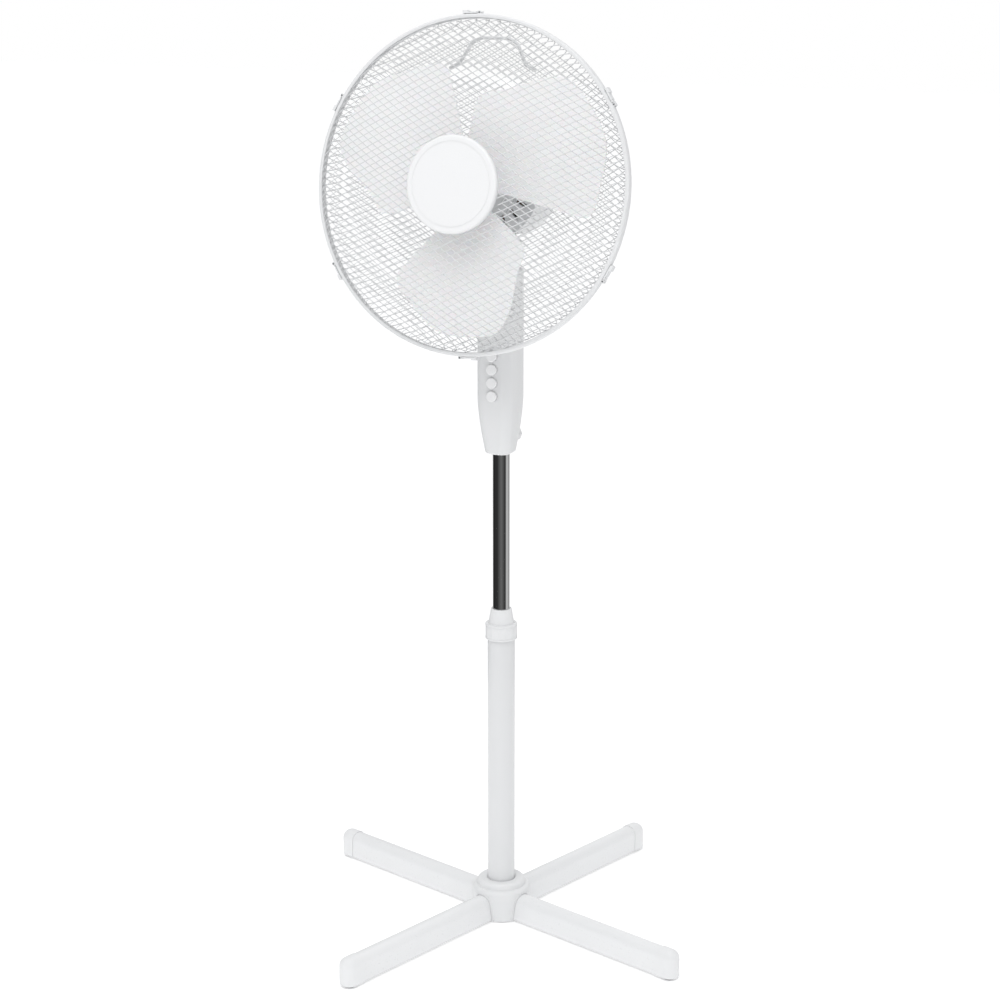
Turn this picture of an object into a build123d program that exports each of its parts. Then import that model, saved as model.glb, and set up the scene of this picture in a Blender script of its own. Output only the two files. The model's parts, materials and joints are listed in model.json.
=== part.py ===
from build123d import *

import os
from math import atan2, cos, degrees, hypot, radians, sin, sqrt

# A 40 cm pedestal fan on a crossed-leg base. Millimetres, +Z up. The origin is on the floor
# under the pole. The head, the buttons and the control box face -Y.

# ---- Overall sizes -------------------------------------------------------------------------
LEG_TIP_RADIUS = 314.0          # pole axis to the outer end of a leg cap
OUTER_TUBE_TOP = 418.0
OUTER_TUBE_RADIUS = 18.8
INNER_TUBE_RADIUS = 11.65
PIVOT_HEIGHT = 937.5            # tilt bolt above the floor
BOX_HEIGHT = 248.0
HEAD_TILT = 9.0                 # degrees that the head looks up at rest
GUARD_RADIUS = 215.0            # outside of the trim ring
RIM_FORWARD = 110.0             # tilt bolt to the plane where the two guards meet

# ---- Clearances ----------------------------------------------------------------------------
RUNNING_GAP = 0.08              # shafts and pins in their bores
SLIDING_GAP = 0.35              # round faces of different moving bodies
SEAT_GAP = 0.05                 # pieces that stay put in one another
PART_LINE = 0.1                 # half of the gap where two shells meet
HOLE_GAP = 0.6                  # screws and stems through plain holes in a cover

# ---- Base ----------------------------------------------------------------------------------
LOWER_LEG_ANGLE = -18.0
UPPER_LEG_ANGLE = 72.0
FOOT_PAD_HEIGHT = 3.0
FOOT_PAD_RADIUS = 8.0
LEG_WIDTH = 25.0
LEG_HEIGHT = 36.0
LEG_TOP_FILLET = 11.5
LEG_WALL = 1.2
CAP_PROUD = 1.0
CAP_SLEEVE = 13.5               # how far a cap reaches over the steel
CAP_PLUG = 16.0                 # how far it reaches into the tube
CAP_PLUG_WALL = 2.0
CAP_FOOT_FILLET = 1.6
LEG_BOTTOM = FOOT_PAD_HEIGHT + CAP_PROUD
LEG_TOP = LEG_BOTTOM + LEG_HEIGHT
CAP_RADIUS = LEG_WIDTH / 2 + CAP_PROUD
STEEL_END = LEG_TIP_RADIUS - CAP_RADIUS
BASE_SCREW_CIRCLE = OUTER_TUBE_RADIUS + 5.2
FLANGE_RADIUS = BASE_SCREW_CIRCLE + 6.0
FLANGE_THICKNESS = 3.0
FLANGE_TOP = LEG_TOP + FLANGE_THICKNESS
SPIGOT_HEIGHT = 12.0
SPIGOT_WALL = 3.5
COVER_FLOOR_GAP = 1.5
COVER_LEG_GAP = 0.5
COVER_FOOT_RADIUS = 35.0
COVER_SHOULDER_RADIUS = 40.5
COVER_SHOULDER_TOP = LEG_TOP + 6.5
COVER_SHOULDER_FILLET = 5.4
COVER_SIDE_FILLET = 10.0
COVER_STEP_RADIUS = 33.5
COVER_STEP_HEIGHT = 10.0
COVER_STEP_FILLET = 5.5
COVER_WALL = 2.0
COVER_LIP = 0.9                 # raised rim around each leg opening
COVER_LIP_WIDTH = 1.8
BASE_SCREW_RADIUS = 2.0
BASE_SCREW_HEAD_RADIUS = 3.6
BASE_SCREW_HEAD = 2.4
BASE_SCREW_LENGTH = 12.0

# ---- Pole ----------------------------------------------------------------------------------
OUTER_TUBE_WALL = 1.2
INNER_TUBE_WALL = 1.0
TUBE_IN_POLE = 153.0            # inner tube below the outer tube's top
TUBE_IN_BOX = 75.0              # inner tube above the box's bottom
GUIDE_LENGTH = 14.0
COLLET_SLEEVE = 40.0
COLLET_FLANGE = 3.0
COLLET_NECK = 12.0
COLLET_NECK_WALL = 4.0
COLLET_SLIT = 1.6
COLLAR_SKIRT = 8.0              # how far the collar reaches down over the tube
COLLAR_RING_HEIGHT = 22.0
COLLAR_RING_WALL = 3.2
COLLAR_LIP = 2.6                # height of the plain lips above and below the flats
COLLAR_FLATS = 14
COLLAR_FLAT_DEPTH = 0.3
COLLAR_CONE_HEIGHT = 21.0
COLLAR_LIP_FILLET = 1.2
COLLAR_FOOT_FILLET = 0.6
COLLAR_TOP_FILLET = 1.6
COLLAR_CONE_TOP_WALL = 2.6
COLLET_NECK_RADIUS = INNER_TUBE_RADIUS + SLIDING_GAP + COLLET_NECK_WALL
COLLAR_RADIUS = OUTER_TUBE_RADIUS + COLLAR_RING_WALL
COLLAR_CONE_BASE = COLLET_NECK_RADIUS + 1.8
COLLAR_CONE_TOP = INNER_TUBE_RADIUS + COLLAR_CONE_TOP_WALL

# ---- Control box ---------------------------------------------------------------------------
BOX_WALL = 2.2
SOCKET_WALL = 2.5
SOCKET_RADIUS = INNER_TUBE_RADIUS + SLIDING_GAP + SOCKET_WALL
BOX_WIDTH = 2 * SOCKET_RADIUS + 23.0
BOX_DEPTH = 2 * SOCKET_RADIUS + 27.0
BOX_CORNER = 14.0
BOX_FORWARD = 2.5               # the box's middle ahead of the pole axis
BOX_BELOW_PIVOT = 17.0
BOX_TAPER = 16.0                # how much narrower the box is at its bottom
BOX_TAPER_HEIGHT = 76.0
BOX_TAPER_POWER = 1.5
BOX_TAPER_STEPS = 4
BOX_RIM_FILLET = 4.0
BOX_TOP = PIVOT_HEIGHT - BOX_BELOW_PIVOT
BOX_BOTTOM = BOX_TOP - BOX_HEIGHT
BOX_FRONT_FACE = -BOX_FORWARD - BOX_DEPTH / 2
BOX_BACK_FACE = -BOX_FORWARD + BOX_DEPTH / 2
INNER_TUBE_BOTTOM = OUTER_TUBE_TOP - TUBE_IN_POLE
INNER_TUBE_TOP = BOX_BOTTOM + TUBE_IN_BOX
SOCKET_TOP = BOX_TOP - 20.0
SOCKET_WAY = 3.0                # how much the cable way above the tube is narrower than it
BRACKET_PLATE = 4.0
BRACKET_CORNER = 3.0
EAR_INNER = 15.8
EAR_THICKNESS = 3.5
EAR_RADIUS = 15.0
EAR_SLOT_GAP = 1.5
TILT_BOLT_RADIUS = 3.0
HEX_RADIUS = 5.5
HEX_HEIGHT = 4.0
BUTTON_COUNT = 4
BUTTON_PITCH = 18.0
BUTTON_BELOW_PIVOT = 183.0      # lowest button
BUTTON_RADIUS = 7.3
BUTTON_PROUD = 3.7
BUTTON_FILLET = 1.2
BUTTON_TRAVEL = 3.5
BUTTON_GAP = 0.3
BUTTON_FLANGE = 1.2             # rim behind the wall that keeps a button in
BUTTON_FLANGE_THICKNESS = 1.4
BUTTON_STEM_RADIUS = 3.0
BUTTON_STEM_ENTRY = 0.6         # how far the stem stands in the switch at rest
SWITCH_WIDTH = 28.0
SWITCH_MARGIN = 20.0            # switch block beyond the outer buttons
SWITCH_POST_MARGIN = 16.0
SWITCH_POST_RADIUS = 3.0
SWITCH_END_WALL = 0.6
CLAMP_BELOW_PIVOT = 249.5
CLAMP_KNOB_RADIUS = 10.0
CLAMP_KNOB_STAND = 8.5          # knob clear of the box's back face
CLAMP_KNOB_LENGTH = 16.0
CLAMP_KNOB_RIBS = 8
CLAMP_RIB_RADIUS = 1.8
CLAMP_KNOB_FILLET = 2.0
CLAMP_SCREW_RADIUS = 3.0
GLAND_BELOW_PIVOT = 182.0
GLAND_RADIUS = 7.0
GLAND_STEP = 2.0
GLAND_BORE = 3.4
GLAND_LENGTH = 12.0
BOX_BOSS_RADIUS = 4.0
BOX_SCREW_RADIUS = 1.6
BOX_SCREW_HEAD_RADIUS = 2.8
BOX_SCREW_HEAD = 2.4
BOX_SCREW_LENGTH = 11.0         # into the front shell
BOX_SCREW_SEAT_DEPTH = 8.0      # seat below the back face
BOX_SCREW_X = SOCKET_RADIUS + BOX_BOSS_RADIUS + 0.5
BOX_SCREW_LOW = 175.0           # below the tilt bolt
BOX_SCREW_HIGH = 46.0
CLAMP_HEIGHT = PIVOT_HEIGHT - CLAMP_BELOW_PIVOT
CLAMP_KNOB_TIP = BOX_BACK_FACE + CLAMP_KNOB_STAND + CLAMP_KNOB_LENGTH
GLAND_HEIGHT = PIVOT_HEIGHT - GLAND_BELOW_PIVOT
BUTTON_FACE = BOX_FRONT_FACE - BUTTON_PROUD
BUTTON_FLANGE_FACE = BOX_FRONT_FACE + BOX_WALL + BUTTON_GAP
BUTTON_BACK = BUTTON_FLANGE_FACE + BUTTON_FLANGE_THICKNESS
SWITCH_FACE = BUTTON_BACK + BUTTON_TRAVEL + BUTTON_GAP
SWITCH_BACK = -SOCKET_RADIUS - 0.6

# ---- Neck and oscillation link, measured up from the tilt bolt ------------------------------
TONGUE_RADIUS = 14.0
NECK_PLATE_RADIUS = 25.0
NECK_PLATE_TOP = 22.0
NECK_PLATE_THICKNESS = 3.0
NECK_HALF_DEPTH = 12.0
OSC_PIN_RADIUS = 4.0
OSC_PIN_BOTTOM = 6.0
OSC_BOSS_RADIUS = 9.6
LINK_PIN_OFFSET = 18.0          # sideways from the oscillation axis
LINK_PIN_RADIUS = 2.5
LINK_PIN_HEIGHT = 4.5
LINK_THICKNESS = 2.4
LINK_EYE_RADIUS = 5.0
CRANK_BACK = 45.0               # crank axis behind the oscillation axis
CRANK_THROW = 11.0
CRANK_RADIUS = 15.0
CRANK_THICKNESS = 3.0
CRANK_RIVET = 1.2
CRANK_SHAFT_RADIUS = 3.0
CRANK_SHAFT_IN_BOX = 6.0
LAYER_GAP = 0.5

# ---- Motor, in the fan's own frame: x to the viewer's right, y up, z forward ---------------
MOTOR_RADIUS = 57.0
MOTOR_WALL = 2.4
MOTOR_FRONT = 36.0
MOTOR_BACK = 84.0
MOTOR_SHOULDER = 48.0           # depth where the rear cover starts to close
MOTOR_REAR_FACE_RADIUS = 34.0
MOTOR_SHOULDER_DROP = 3.0       # how much narrower the cover is at its shoulder
MOTOR_FRONT_FILLET = 8.0
MOTOR_SIDE_FILLET = 20.0
MOTOR_SHOULDER_FILLET = 18.0
MOTOR_FACE_FILLET = 12.0
CRANK_HOLE_GAP = 2.0
MOTOR_ABOVE_BOLT = 28.0         # tilt bolt to the motor's underside
FAN_AXIS_RISE = MOTOR_ABOVE_BOLT + MOTOR_RADIUS
STATOR_RADIUS = MOTOR_RADIUS - 13.0
STATOR_HALF_LENGTH = 12.0
STATOR_SLOTS = 16
STATOR_SLOT_WIDTH = 4.8
AIR_GAP = 0.6
ROTOR_RADIUS = 23.6
STATOR_BORE = ROTOR_RADIUS + AIR_GAP
COIL_INNER = STATOR_BORE + 2.8
COIL_OUTER = STATOR_RADIUS - 6.0
COIL_OVERHANG = 9.0
COIL_GAP = 0.5
FRAME_HALF_LENGTH = STATOR_HALF_LENGTH + 1.0
FRAME_COVER_GAP = 0.4
OSC_BOSS_TOP = FAN_AXIS_RISE - STATOR_RADIUS - 1.0
OSC_PIN_TOP = OSC_BOSS_TOP - 2.0
SHAFT_RADIUS = 4.0
SHAFT_BACK = -56.0
BEARING_RADIUS = 8.0
BEARING_LENGTH = 12.0
BEARING_SEAT_WALL = 4.0
GUARD_BOSS_RADIUS = 24.0
GUARD_BOSS_LENGTH = 14.0
VENT_COUNT = 16
VENT_WIDTH = 4.0
VENT_INNER = GUARD_BOSS_RADIUS + 5.0
VENT_OUTER = MOTOR_RADIUS - 7.0
REAR_SLOT_COUNT = 9
REAR_SLOT_PITCH = 6.0
REAR_SLOT_WIDTH = 2.4
REAR_SLOT_HALF_LENGTH = 16.0
COVER_SCREW_RADIUS = 1.8
COVER_SCREW_HEAD_RADIUS = 3.0
COVER_SCREW_BOSS_RADIUS = 4.4
COVER_SCREW_SEAT = -22.0
COVER_SCREW_CIRCLE = MOTOR_RADIUS - MOTOR_WALL - 6.0
GEARBOX_HALF_WIDTH = 24.0
GEARBOX_FRONT = -25.0
GEARBOX_BACK = -60.0
GEARBOX_TOP = 16.0
GEARBOX_BOTTOM = -34.0
GEARBOX_WALL = 2.5
GEARBOX_FILLET = 4.0
WORM_RADIUS = 5.5
WORM_HALF_LENGTH = 8.0
OSC_KNOB_RADIUS = 7.0
OSC_KNOB_HEIGHT = 14.0
OSC_KNOB_STAND = 1.5            # knob head clear of the motor cover
OSC_KNOB_STEM = 3.0
OSC_KNOB_FILLET = 1.5
OSC_KNOB_BACK = 42.0

# ---- Guards --------------------------------------------------------------------------------
TRIM_WALL = 1.3
RIM_WIRE_RADIUS = 2.0
RIM_PAIR_GAP = 0.2              # half of the gap between the two rim wires
RIM_CHANNEL_GAP = 0.3
TRIM_CHANNEL_RADIUS = GUARD_RADIUS - TRIM_WALL
RIM_RING_RADIUS = TRIM_CHANNEL_RADIUS - RIM_CHANNEL_GAP - RIM_WIRE_RADIUS
TRIM_CHANNEL_HALF = 2 * RIM_WIRE_RADIUS + RIM_PAIR_GAP + RIM_CHANNEL_GAP
TRIM_HALF_WIDTH = TRIM_CHANNEL_HALF + TRIM_WALL
MESH_WIRE_RADIUS = 0.62
MESH_PITCH = 7.9
MESH_ANGLES = (26.8, -33.2)
MESH_LAYER_STEP = 1.5
MESH_RIM_GAP = 0.1
MESH_LAST_SHARE = 0.985         # the outermost wire's offset as a share of the mesh radius
MESH_BENDS = 7                  # bends from the rim inwards in each half of a wire
MESH_BEND_REACH = 0.52          # share of the radius that those bends cover
MESH_BEND_POWER = 2.7
MESH_OUTER_RADIUS = RIM_RING_RADIUS - RIM_WIRE_RADIUS - MESH_WIRE_RADIUS - MESH_RIM_GAP
MESH_INNER_RADIUS = 60.0
MESH_SEAT = 2.4                 # a mesh starts this far off the rim plane
FRONT_DEPTH = 50.0              # rim plane to the front of the front mesh
REAR_RIM_DEPTH = 22.0           # steep part of the rear mesh
REAR_CONE_DEPTH = 61.0          # its cone, were it to reach the axis
FRONT_RIM_POWER = 3.2           # the domes' roundness
FRONT_RIM_ROOT = 0.52
REAR_RIM_POWER = 12
REAR_RIM_ROOT = 0.5
REAR_CONE_POWER = 1.15
BADGE_RADIUS = 61.5
BADGE_FRONT = 171.0
BADGE_THICKNESS = 6.0
BADGE_FILLET = 3.2
BADGE_GROOVE_RADIUS = 53.0
BADGE_GROOVE_WIDTH = 1.4
BADGE_GROOVE_DEPTH = 0.5
BADGE_STUD_RADIUS = 5.0
FRONT_PLATE_RADIUS = BADGE_RADIUS - 1.0
REAR_PLATE_RADIUS = MESH_INNER_RADIUS + 3.0
REAR_PLATE_THICKNESS = 2.0
GUARD_NUT_WALL = 9.0
GUARD_NUT_HEIGHT = 8.0
GUARD_NUT_GRIPS = 8
HANDLE_WIRE_RADIUS = 2.2
HANDLE_BEND_RADIUS = 7.0
HANDLE_GRIP_BELOW_RIM = 25.0
HANDLE_REACH = 40.0             # foot to grip
HANDLE_FOOT_HALF = 60.0
HANDLE_SIDE_HALF = 46.0
HANDLE_SHOULDER_HALF = 32.0
HANDLE_GRIP_HALF = 19.0
HANDLE_SHOULDER_DROP = 7.0
CLIP_COUNT = 6
CLIP_FIRST_ANGLE = 93.0
CLIP_LENGTH = 25.0
CLIP_WIDTH = 10.0
CLIP_THICKNESS = 2.0
CLIP_STAND = 0.4                # clip clear of the trim ring
CLIP_TAB = 1.8
CLIP_TAB_LENGTH = 7.0
CLIP_PIN_RADIUS = 0.8
CLIP_PIN_INSET = 2.2
CLIP_KNUCKLE_HALF = 2.6
CLIP_LUG_GAP = 0.3
CLIP_LUG_WIDTH = 1.6
CLIP_NOTCH = 1.6
CLIP_NECK = 3.0                 # pin to the wide part of a clip

# ---- Blade ---------------------------------------------------------------------------------
BLADE_COUNT = 3
BLADE_TIP_GAP = 21.0            # blade tip inside the rim wires
BLADE_TIP_RADIUS = RIM_RING_RADIUS - BLADE_TIP_GAP
BLADE_THICKNESS = 2.0
BLADE_HUB_RADIUS = 30.0
BLADE_HUB_WALL = 3.0
BLADE_HUB_FACE = 5.0
BLADE_BORE_WALL = 7.0
BLADE_LEAD_Z = 94.0
BLADE_TRAIL_Z = 134.0
BLADE_LEAD_ANGLE = -12.0
BLADE_TRAIL_ANGLE = 78.0
BLADE_LEAD_CORNER = 0.78        # corners of a blade's outline as shares of its tip radius
BLADE_LEAD_ROUND = 0.90
BLADE_TRAIL_ROUND = 0.965
BLADE_TRAIL_CORNER = 0.68
HUB_BACK = 90.0
HUB_FRONT = 137.0
SPINNER_GAP = 0.2
SPINNER_RADIUS = 17.0
SPINNER_HEIGHT = 15.0
SPINNER_TIP_RADIUS = 12.0
SHAFT_FRONT = HUB_FRONT + 11.0

TILTED = Pos(0, 0, PIVOT_HEIGHT) * Rot(X=-HEAD_TILT)
FAN = TILTED * Pos(0, 0, FAN_AXIS_RISE) * Rot(X=90)


# ---- Shape helpers -------------------------------------------------------------------------
def turned(*outline):
    """A body of revolution about Z from (radius, height) corners."""
    return revolve(make_face(Plane.XZ * Polyline(*outline, close=True)), Axis.Z)


def turned_soft(*outline):
    """A body of revolution about Z from (radius, height, fillet) corners."""
    corners = [(radius, height) for radius, height, _ in outline]
    softness = [soft for _, _, soft in outline]
    path = FilletPolyline(*corners, radius=softness, close=True)
    return revolve(make_face(Plane.XZ * path), Axis.Z)


def rod(radius, low, high, x=0.0, y=0.0):
    return Pos(x, y, (low + high) / 2) * Cylinder(radius, high - low)


def pipe(radius, bore, low, high):
    return rod(radius, low, high) - rod(bore, low, high)


def rod_along_x(radius, low, high, y=0.0, z=0.0):
    return Pos((low + high) / 2, y, z) * Rot(Y=90) * Cylinder(radius, high - low)


def rod_along_y(radius, low, high, x=0.0, z=0.0):
    return Pos(x, (low + high) / 2, z) * Rot(X=90) * Cylinder(radius, high - low)


def block(x_low, x_high, y_low, y_high, z_low, z_high):
    centre = Pos((x_low + x_high) / 2, (y_low + y_high) / 2, (z_low + z_high) / 2)
    return centre * Box(x_high - x_low, y_high - y_low, z_high - z_low)


def polar(radius, angle):
    return radius * cos(radians(angle)), radius * sin(radians(angle))


# ---- Base ----------------------------------------------------------------------------------
def leg_section(grow=0.0):
    """The leg's round-topped outline, grown outward by a clearance or shrunk by a wall."""
    outline = Pos(0, LEG_BOTTOM + LEG_HEIGHT / 2) * Rectangle(
        LEG_WIDTH + 2 * grow, LEG_HEIGHT + 2 * grow
    )
    return fillet(outline.vertices().group_by(Axis.Y)[-1], LEG_TOP_FILLET + grow)


def leg_bar(low, high, grow=0.0):
    return extrude(Plane.YZ.offset(low) * leg_section(grow), high - low)


def base_screw_places():
    for angle in (LOWER_LEG_ANGLE, UPPER_LEG_ANGLE):
        for turn in (0, 180):
            yield polar(BASE_SCREW_CIRCLE, angle + turn)


def cross_leg(angle, notch_low, notch_high):
    bar = leg_bar(-STEEL_END, STEEL_END) - leg_bar(-STEEL_END, STEEL_END, -LEG_WALL)
    half_notch = LEG_WIDTH / 2 + SLIDING_GAP
    notch = block(-half_notch, half_notch, -LEG_WIDTH, LEG_WIDTH, notch_low, notch_high)
    leg = Rot(Z=angle) * (bar - notch)
    for x, y in base_screw_places():
        leg -= rod(BASE_SCREW_RADIUS + SEAT_GAP, LEG_TOP - 3 * LEG_WALL, LEG_TOP, x, y)
    return leg


def leg_end_cap(angle):
    """A cap with a half-round end and a domed top, on a hollow plug inside the tube."""
    start = STEEL_END - CAP_SLEEVE
    low = LEG_BOTTOM - CAP_PROUD
    plan = Pos((start + STEEL_END) / 2, 0) * Rectangle(CAP_SLEEVE, 2 * CAP_RADIUS)
    plan += Pos(STEEL_END, 0) * Circle(CAP_RADIUS)
    cap = Pos(0, 0, low) * extrude(plan, LEG_TOP + CAP_PROUD - low)
    rim = cap.edges().group_by(Axis.Z)[-1].sort_by(Axis.X)[1:]
    cap = fillet(rim, LEG_TOP_FILLET + CAP_PROUD)
    foot = cap.edges().group_by(Axis.Z)[0].sort_by(Axis.X)[1:]
    cap = fillet(foot, CAP_FOOT_FILLET)
    cap -= leg_bar(start, STEEL_END, SEAT_GAP)
    plug_low = STEEL_END - CAP_PLUG
    plug = leg_bar(plug_low, STEEL_END, -LEG_WALL - SEAT_GAP)
    plug -= leg_bar(plug_low, STEEL_END, -LEG_WALL - CAP_PLUG_WALL)
    return Rot(Z=angle) * (cap + plug)


def foot_pad(angle):
    x, y = polar(STEEL_END, angle)
    return rod(FOOT_PAD_RADIUS, 0, FOOT_PAD_HEIGHT, x, y)


def cover_form(grow=0.0):
    """The cover's solid outer form: a round step over a soft shoulder."""
    shoulder = COVER_SHOULDER_RADIUS + grow
    step = COVER_STEP_RADIUS + grow
    step_low = COVER_SHOULDER_TOP + 1.0
    top = COVER_SHOULDER_TOP + COVER_STEP_HEIGHT
    return turned_soft(
        (0, COVER_FLOOR_GAP, 0), (COVER_FOOT_RADIUS + grow, COVER_FLOOR_GAP, 0),
        (shoulder, LEG_TOP - COVER_SHOULDER_FILLET, COVER_SIDE_FILLET),
        (shoulder, COVER_SHOULDER_TOP + grow, COVER_SHOULDER_FILLET),
        (step, step_low + grow, 1.0), (step, top, COVER_STEP_FILLET),
        (OUTER_TUBE_RADIUS + COVER_WALL, top, 2.0), (OUTER_TUBE_RADIUS, top - 1.5, 0),
        (0, top - 1.5, 0),
    )


def cover_hollow():
    top = COVER_SHOULDER_TOP + COVER_STEP_HEIGHT - COVER_WALL
    shoulder = COVER_SHOULDER_RADIUS - COVER_WALL
    step = COVER_STEP_RADIUS - COVER_WALL
    shoulder_top = COVER_SHOULDER_TOP - COVER_WALL
    soft = COVER_SHOULDER_FILLET - COVER_WALL
    return turned_soft(
        (0, 0, 0), (COVER_FOOT_RADIUS - COVER_WALL, 0, 0),
        (shoulder, LEG_TOP - COVER_SHOULDER_FILLET, COVER_SIDE_FILLET - COVER_WALL),
        (shoulder, shoulder_top, soft),
        (step, shoulder_top + 1.0, 1.0), (step, top, COVER_STEP_FILLET - COVER_WALL),
        (OUTER_TUBE_RADIUS, top - 1.0, 0), (0, top - 1.0, 0),
    )


def leg_way(angle, gap):
    """The space that a leg and the floor below it take through the cover."""
    reach = COVER_SHOULDER_RADIUS + 2 * COVER_LIP_WIDTH
    half = LEG_WIDTH / 2 + gap
    way = leg_bar(-reach, reach, gap) + block(-reach, reach, -half, half, 0, LEG_BOTTOM)
    return Rot(Z=angle) * way


def base_cover():
    shell = cover_form()
    lip_form = cover_form(COVER_LIP)
    for angle in (LOWER_LEG_ANGLE, UPPER_LEG_ANGLE):
        shell += lip_form & leg_way(angle, COVER_LEG_GAP + COVER_LIP_WIDTH)
    shell -= cover_hollow()
    shell -= rod(OUTER_TUBE_RADIUS + 4 * SEAT_GAP, LEG_TOP, COVER_SHOULDER_TOP + 2 * COVER_STEP_HEIGHT)
    shell -= block(-LEG_TIP_RADIUS, LEG_TIP_RADIUS, -LEG_TIP_RADIUS, LEG_TIP_RADIUS, 0, COVER_FLOOR_GAP)
    for angle in (LOWER_LEG_ANGLE, UPPER_LEG_ANGLE):
        shell -= leg_way(angle, COVER_LEG_GAP)
    return shell


def pole_flange():
    bore = OUTER_TUBE_RADIUS - OUTER_TUBE_WALL - SEAT_GAP
    flange = rod(FLANGE_RADIUS, LEG_TOP, FLANGE_TOP)
    flange += pipe(bore, bore - SPIGOT_WALL, FLANGE_TOP, FLANGE_TOP + SPIGOT_HEIGHT)
    for x, y in base_screw_places():
        flange -= rod(BASE_SCREW_RADIUS + SEAT_GAP, LEG_TOP, FLANGE_TOP, x, y)
    return flange


def base_screws():
    screws = []
    for x, y in base_screw_places():
        head = rod(BASE_SCREW_HEAD_RADIUS, FLANGE_TOP, FLANGE_TOP + BASE_SCREW_HEAD, x, y)
        screws.append(head + rod(BASE_SCREW_RADIUS, LEG_TOP - BASE_SCREW_LENGTH, FLANGE_TOP, x, y))
    return screws


# ---- Pole ----------------------------------------------------------------------------------
def outer_tube():
    inner = OUTER_TUBE_RADIUS - OUTER_TUBE_WALL
    return pipe(OUTER_TUBE_RADIUS, inner, FLANGE_TOP, OUTER_TUBE_TOP)


def tube_collet():
    sleeve = OUTER_TUBE_RADIUS - OUTER_TUBE_WALL - SEAT_GAP
    sleeve_low = OUTER_TUBE_TOP - COLLET_SLEEVE
    flange_top = OUTER_TUBE_TOP + COLLET_FLANGE
    neck_top = flange_top + COLLET_NECK
    collet = rod(sleeve, sleeve_low, OUTER_TUBE_TOP)
    collet += rod(OUTER_TUBE_RADIUS - SLIDING_GAP, OUTER_TUBE_TOP, flange_top)
    collet += rod(COLLET_NECK_RADIUS, flange_top, neck_top)
    collet -= rod(INNER_TUBE_RADIUS + SLIDING_GAP, sleeve_low, neck_top)
    for angle in (0, 90):
        half = COLLET_SLIT / 2
        slit = block(-OUTER_TUBE_RADIUS, OUTER_TUBE_RADIUS, -half, half, flange_top + COLLET_FLANGE, neck_top)
        collet -= Rot(Z=angle) * slit
    return collet


def lock_collar():
    """A ring with flats between two round lips, under a cone that closes on the inner tube."""
    low = OUTER_TUBE_TOP - COLLAR_SKIRT
    ring_top = low + COLLAR_RING_HEIGHT
    top = ring_top + COLLAR_CONE_HEIGHT
    flange_top = OUTER_TUBE_TOP + COLLET_FLANGE + SLIDING_GAP
    neck_top = OUTER_TUBE_TOP + COLLET_FLANGE + COLLET_NECK + SLIDING_GAP
    body = turned_soft(
        (0, low, 0), (COLLAR_RADIUS, low, COLLAR_LIP_FILLET), (COLLAR_RADIUS, ring_top, COLLAR_LIP_FILLET),
        (COLLAR_CONE_BASE, ring_top, COLLAR_FOOT_FILLET), (COLLAR_CONE_TOP, top, COLLAR_TOP_FILLET),
        (0, top, 0),
    )
    flats_low, flats_top = low + COLLAR_LIP, ring_top - COLLAR_LIP
    flats = RegularPolygon(COLLAR_RADIUS - COLLAR_FLAT_DEPTH, COLLAR_FLATS)
    prism = Pos(0, 0, flats_low) * extrude(flats, flats_top - flats_low)
    body -= rod(COLLAR_RADIUS + 1, flats_low, flats_top) - prism
    tube_bore = OUTER_TUBE_RADIUS + SLIDING_GAP
    neck_bore = COLLET_NECK_RADIUS + SLIDING_GAP
    exit_bore = INNER_TUBE_RADIUS + SLIDING_GAP
    return body - turned(
        (0, low), (tube_bore, low), (tube_bore, flange_top), (neck_bore, flange_top),
        (neck_bore, neck_top), (exit_bore, neck_top + COLLET_NECK_WALL / 2), (exit_bore, top), (0, top),
    )


def inner_tube():
    bore = INNER_TUBE_RADIUS - INNER_TUBE_WALL
    return pipe(INNER_TUBE_RADIUS, bore, INNER_TUBE_BOTTOM, INNER_TUBE_TOP)


def tube_guide():
    outer = OUTER_TUBE_RADIUS - OUTER_TUBE_WALL - SLIDING_GAP
    bore = INNER_TUBE_RADIUS + SEAT_GAP
    return pipe(outer, bore, INNER_TUBE_BOTTOM, INNER_TUBE_BOTTOM + GUIDE_LENGTH)


# ---- Control box ---------------------------------------------------------------------------
def box_section(share, shrink):
    """The box's plan at a share of its tapered height."""
    loss = BOX_TAPER * (1 - share) ** BOX_TAPER_POWER + 2 * shrink
    return Pos(0, -BOX_FORWARD) * RectangleRounded(BOX_WIDTH - loss, BOX_DEPTH - loss, BOX_CORNER - shrink)


def box_form(shrink):
    """The box's outer form, or its hollow when shrunk by the wall."""
    low = BOX_BOTTOM + shrink
    straight = BOX_BOTTOM + BOX_TAPER_HEIGHT
    sections = []
    for step in range(BOX_TAPER_STEPS + 1):
        share = step / BOX_TAPER_STEPS
        sections.append(Pos(0, 0, low + share * (straight - low)) * box_section(share, shrink))
    upper = Pos(0, 0, straight) * extrude(box_section(1, shrink), BOX_TOP - shrink - straight)
    form = loft(sections) + upper
    form = fillet(form.faces().sort_by(Axis.Z)[-1].edges(), BOX_RIM_FILLET - shrink / 2)
    return fillet(form.faces().sort_by(Axis.Z)[0].edges(), BOX_RIM_FILLET - shrink / 2)


def button_heights():
    lowest = PIVOT_HEIGHT - BUTTON_BELOW_PIVOT
    return [lowest + BUTTON_PITCH * number for number in range(BUTTON_COUNT)]


def box_screw_places():
    for drop in (BOX_SCREW_LOW, BOX_SCREW_HIGH):
        for side in (-1, 1):
            yield side * BOX_SCREW_X, PIVOT_HEIGHT - drop


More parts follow.
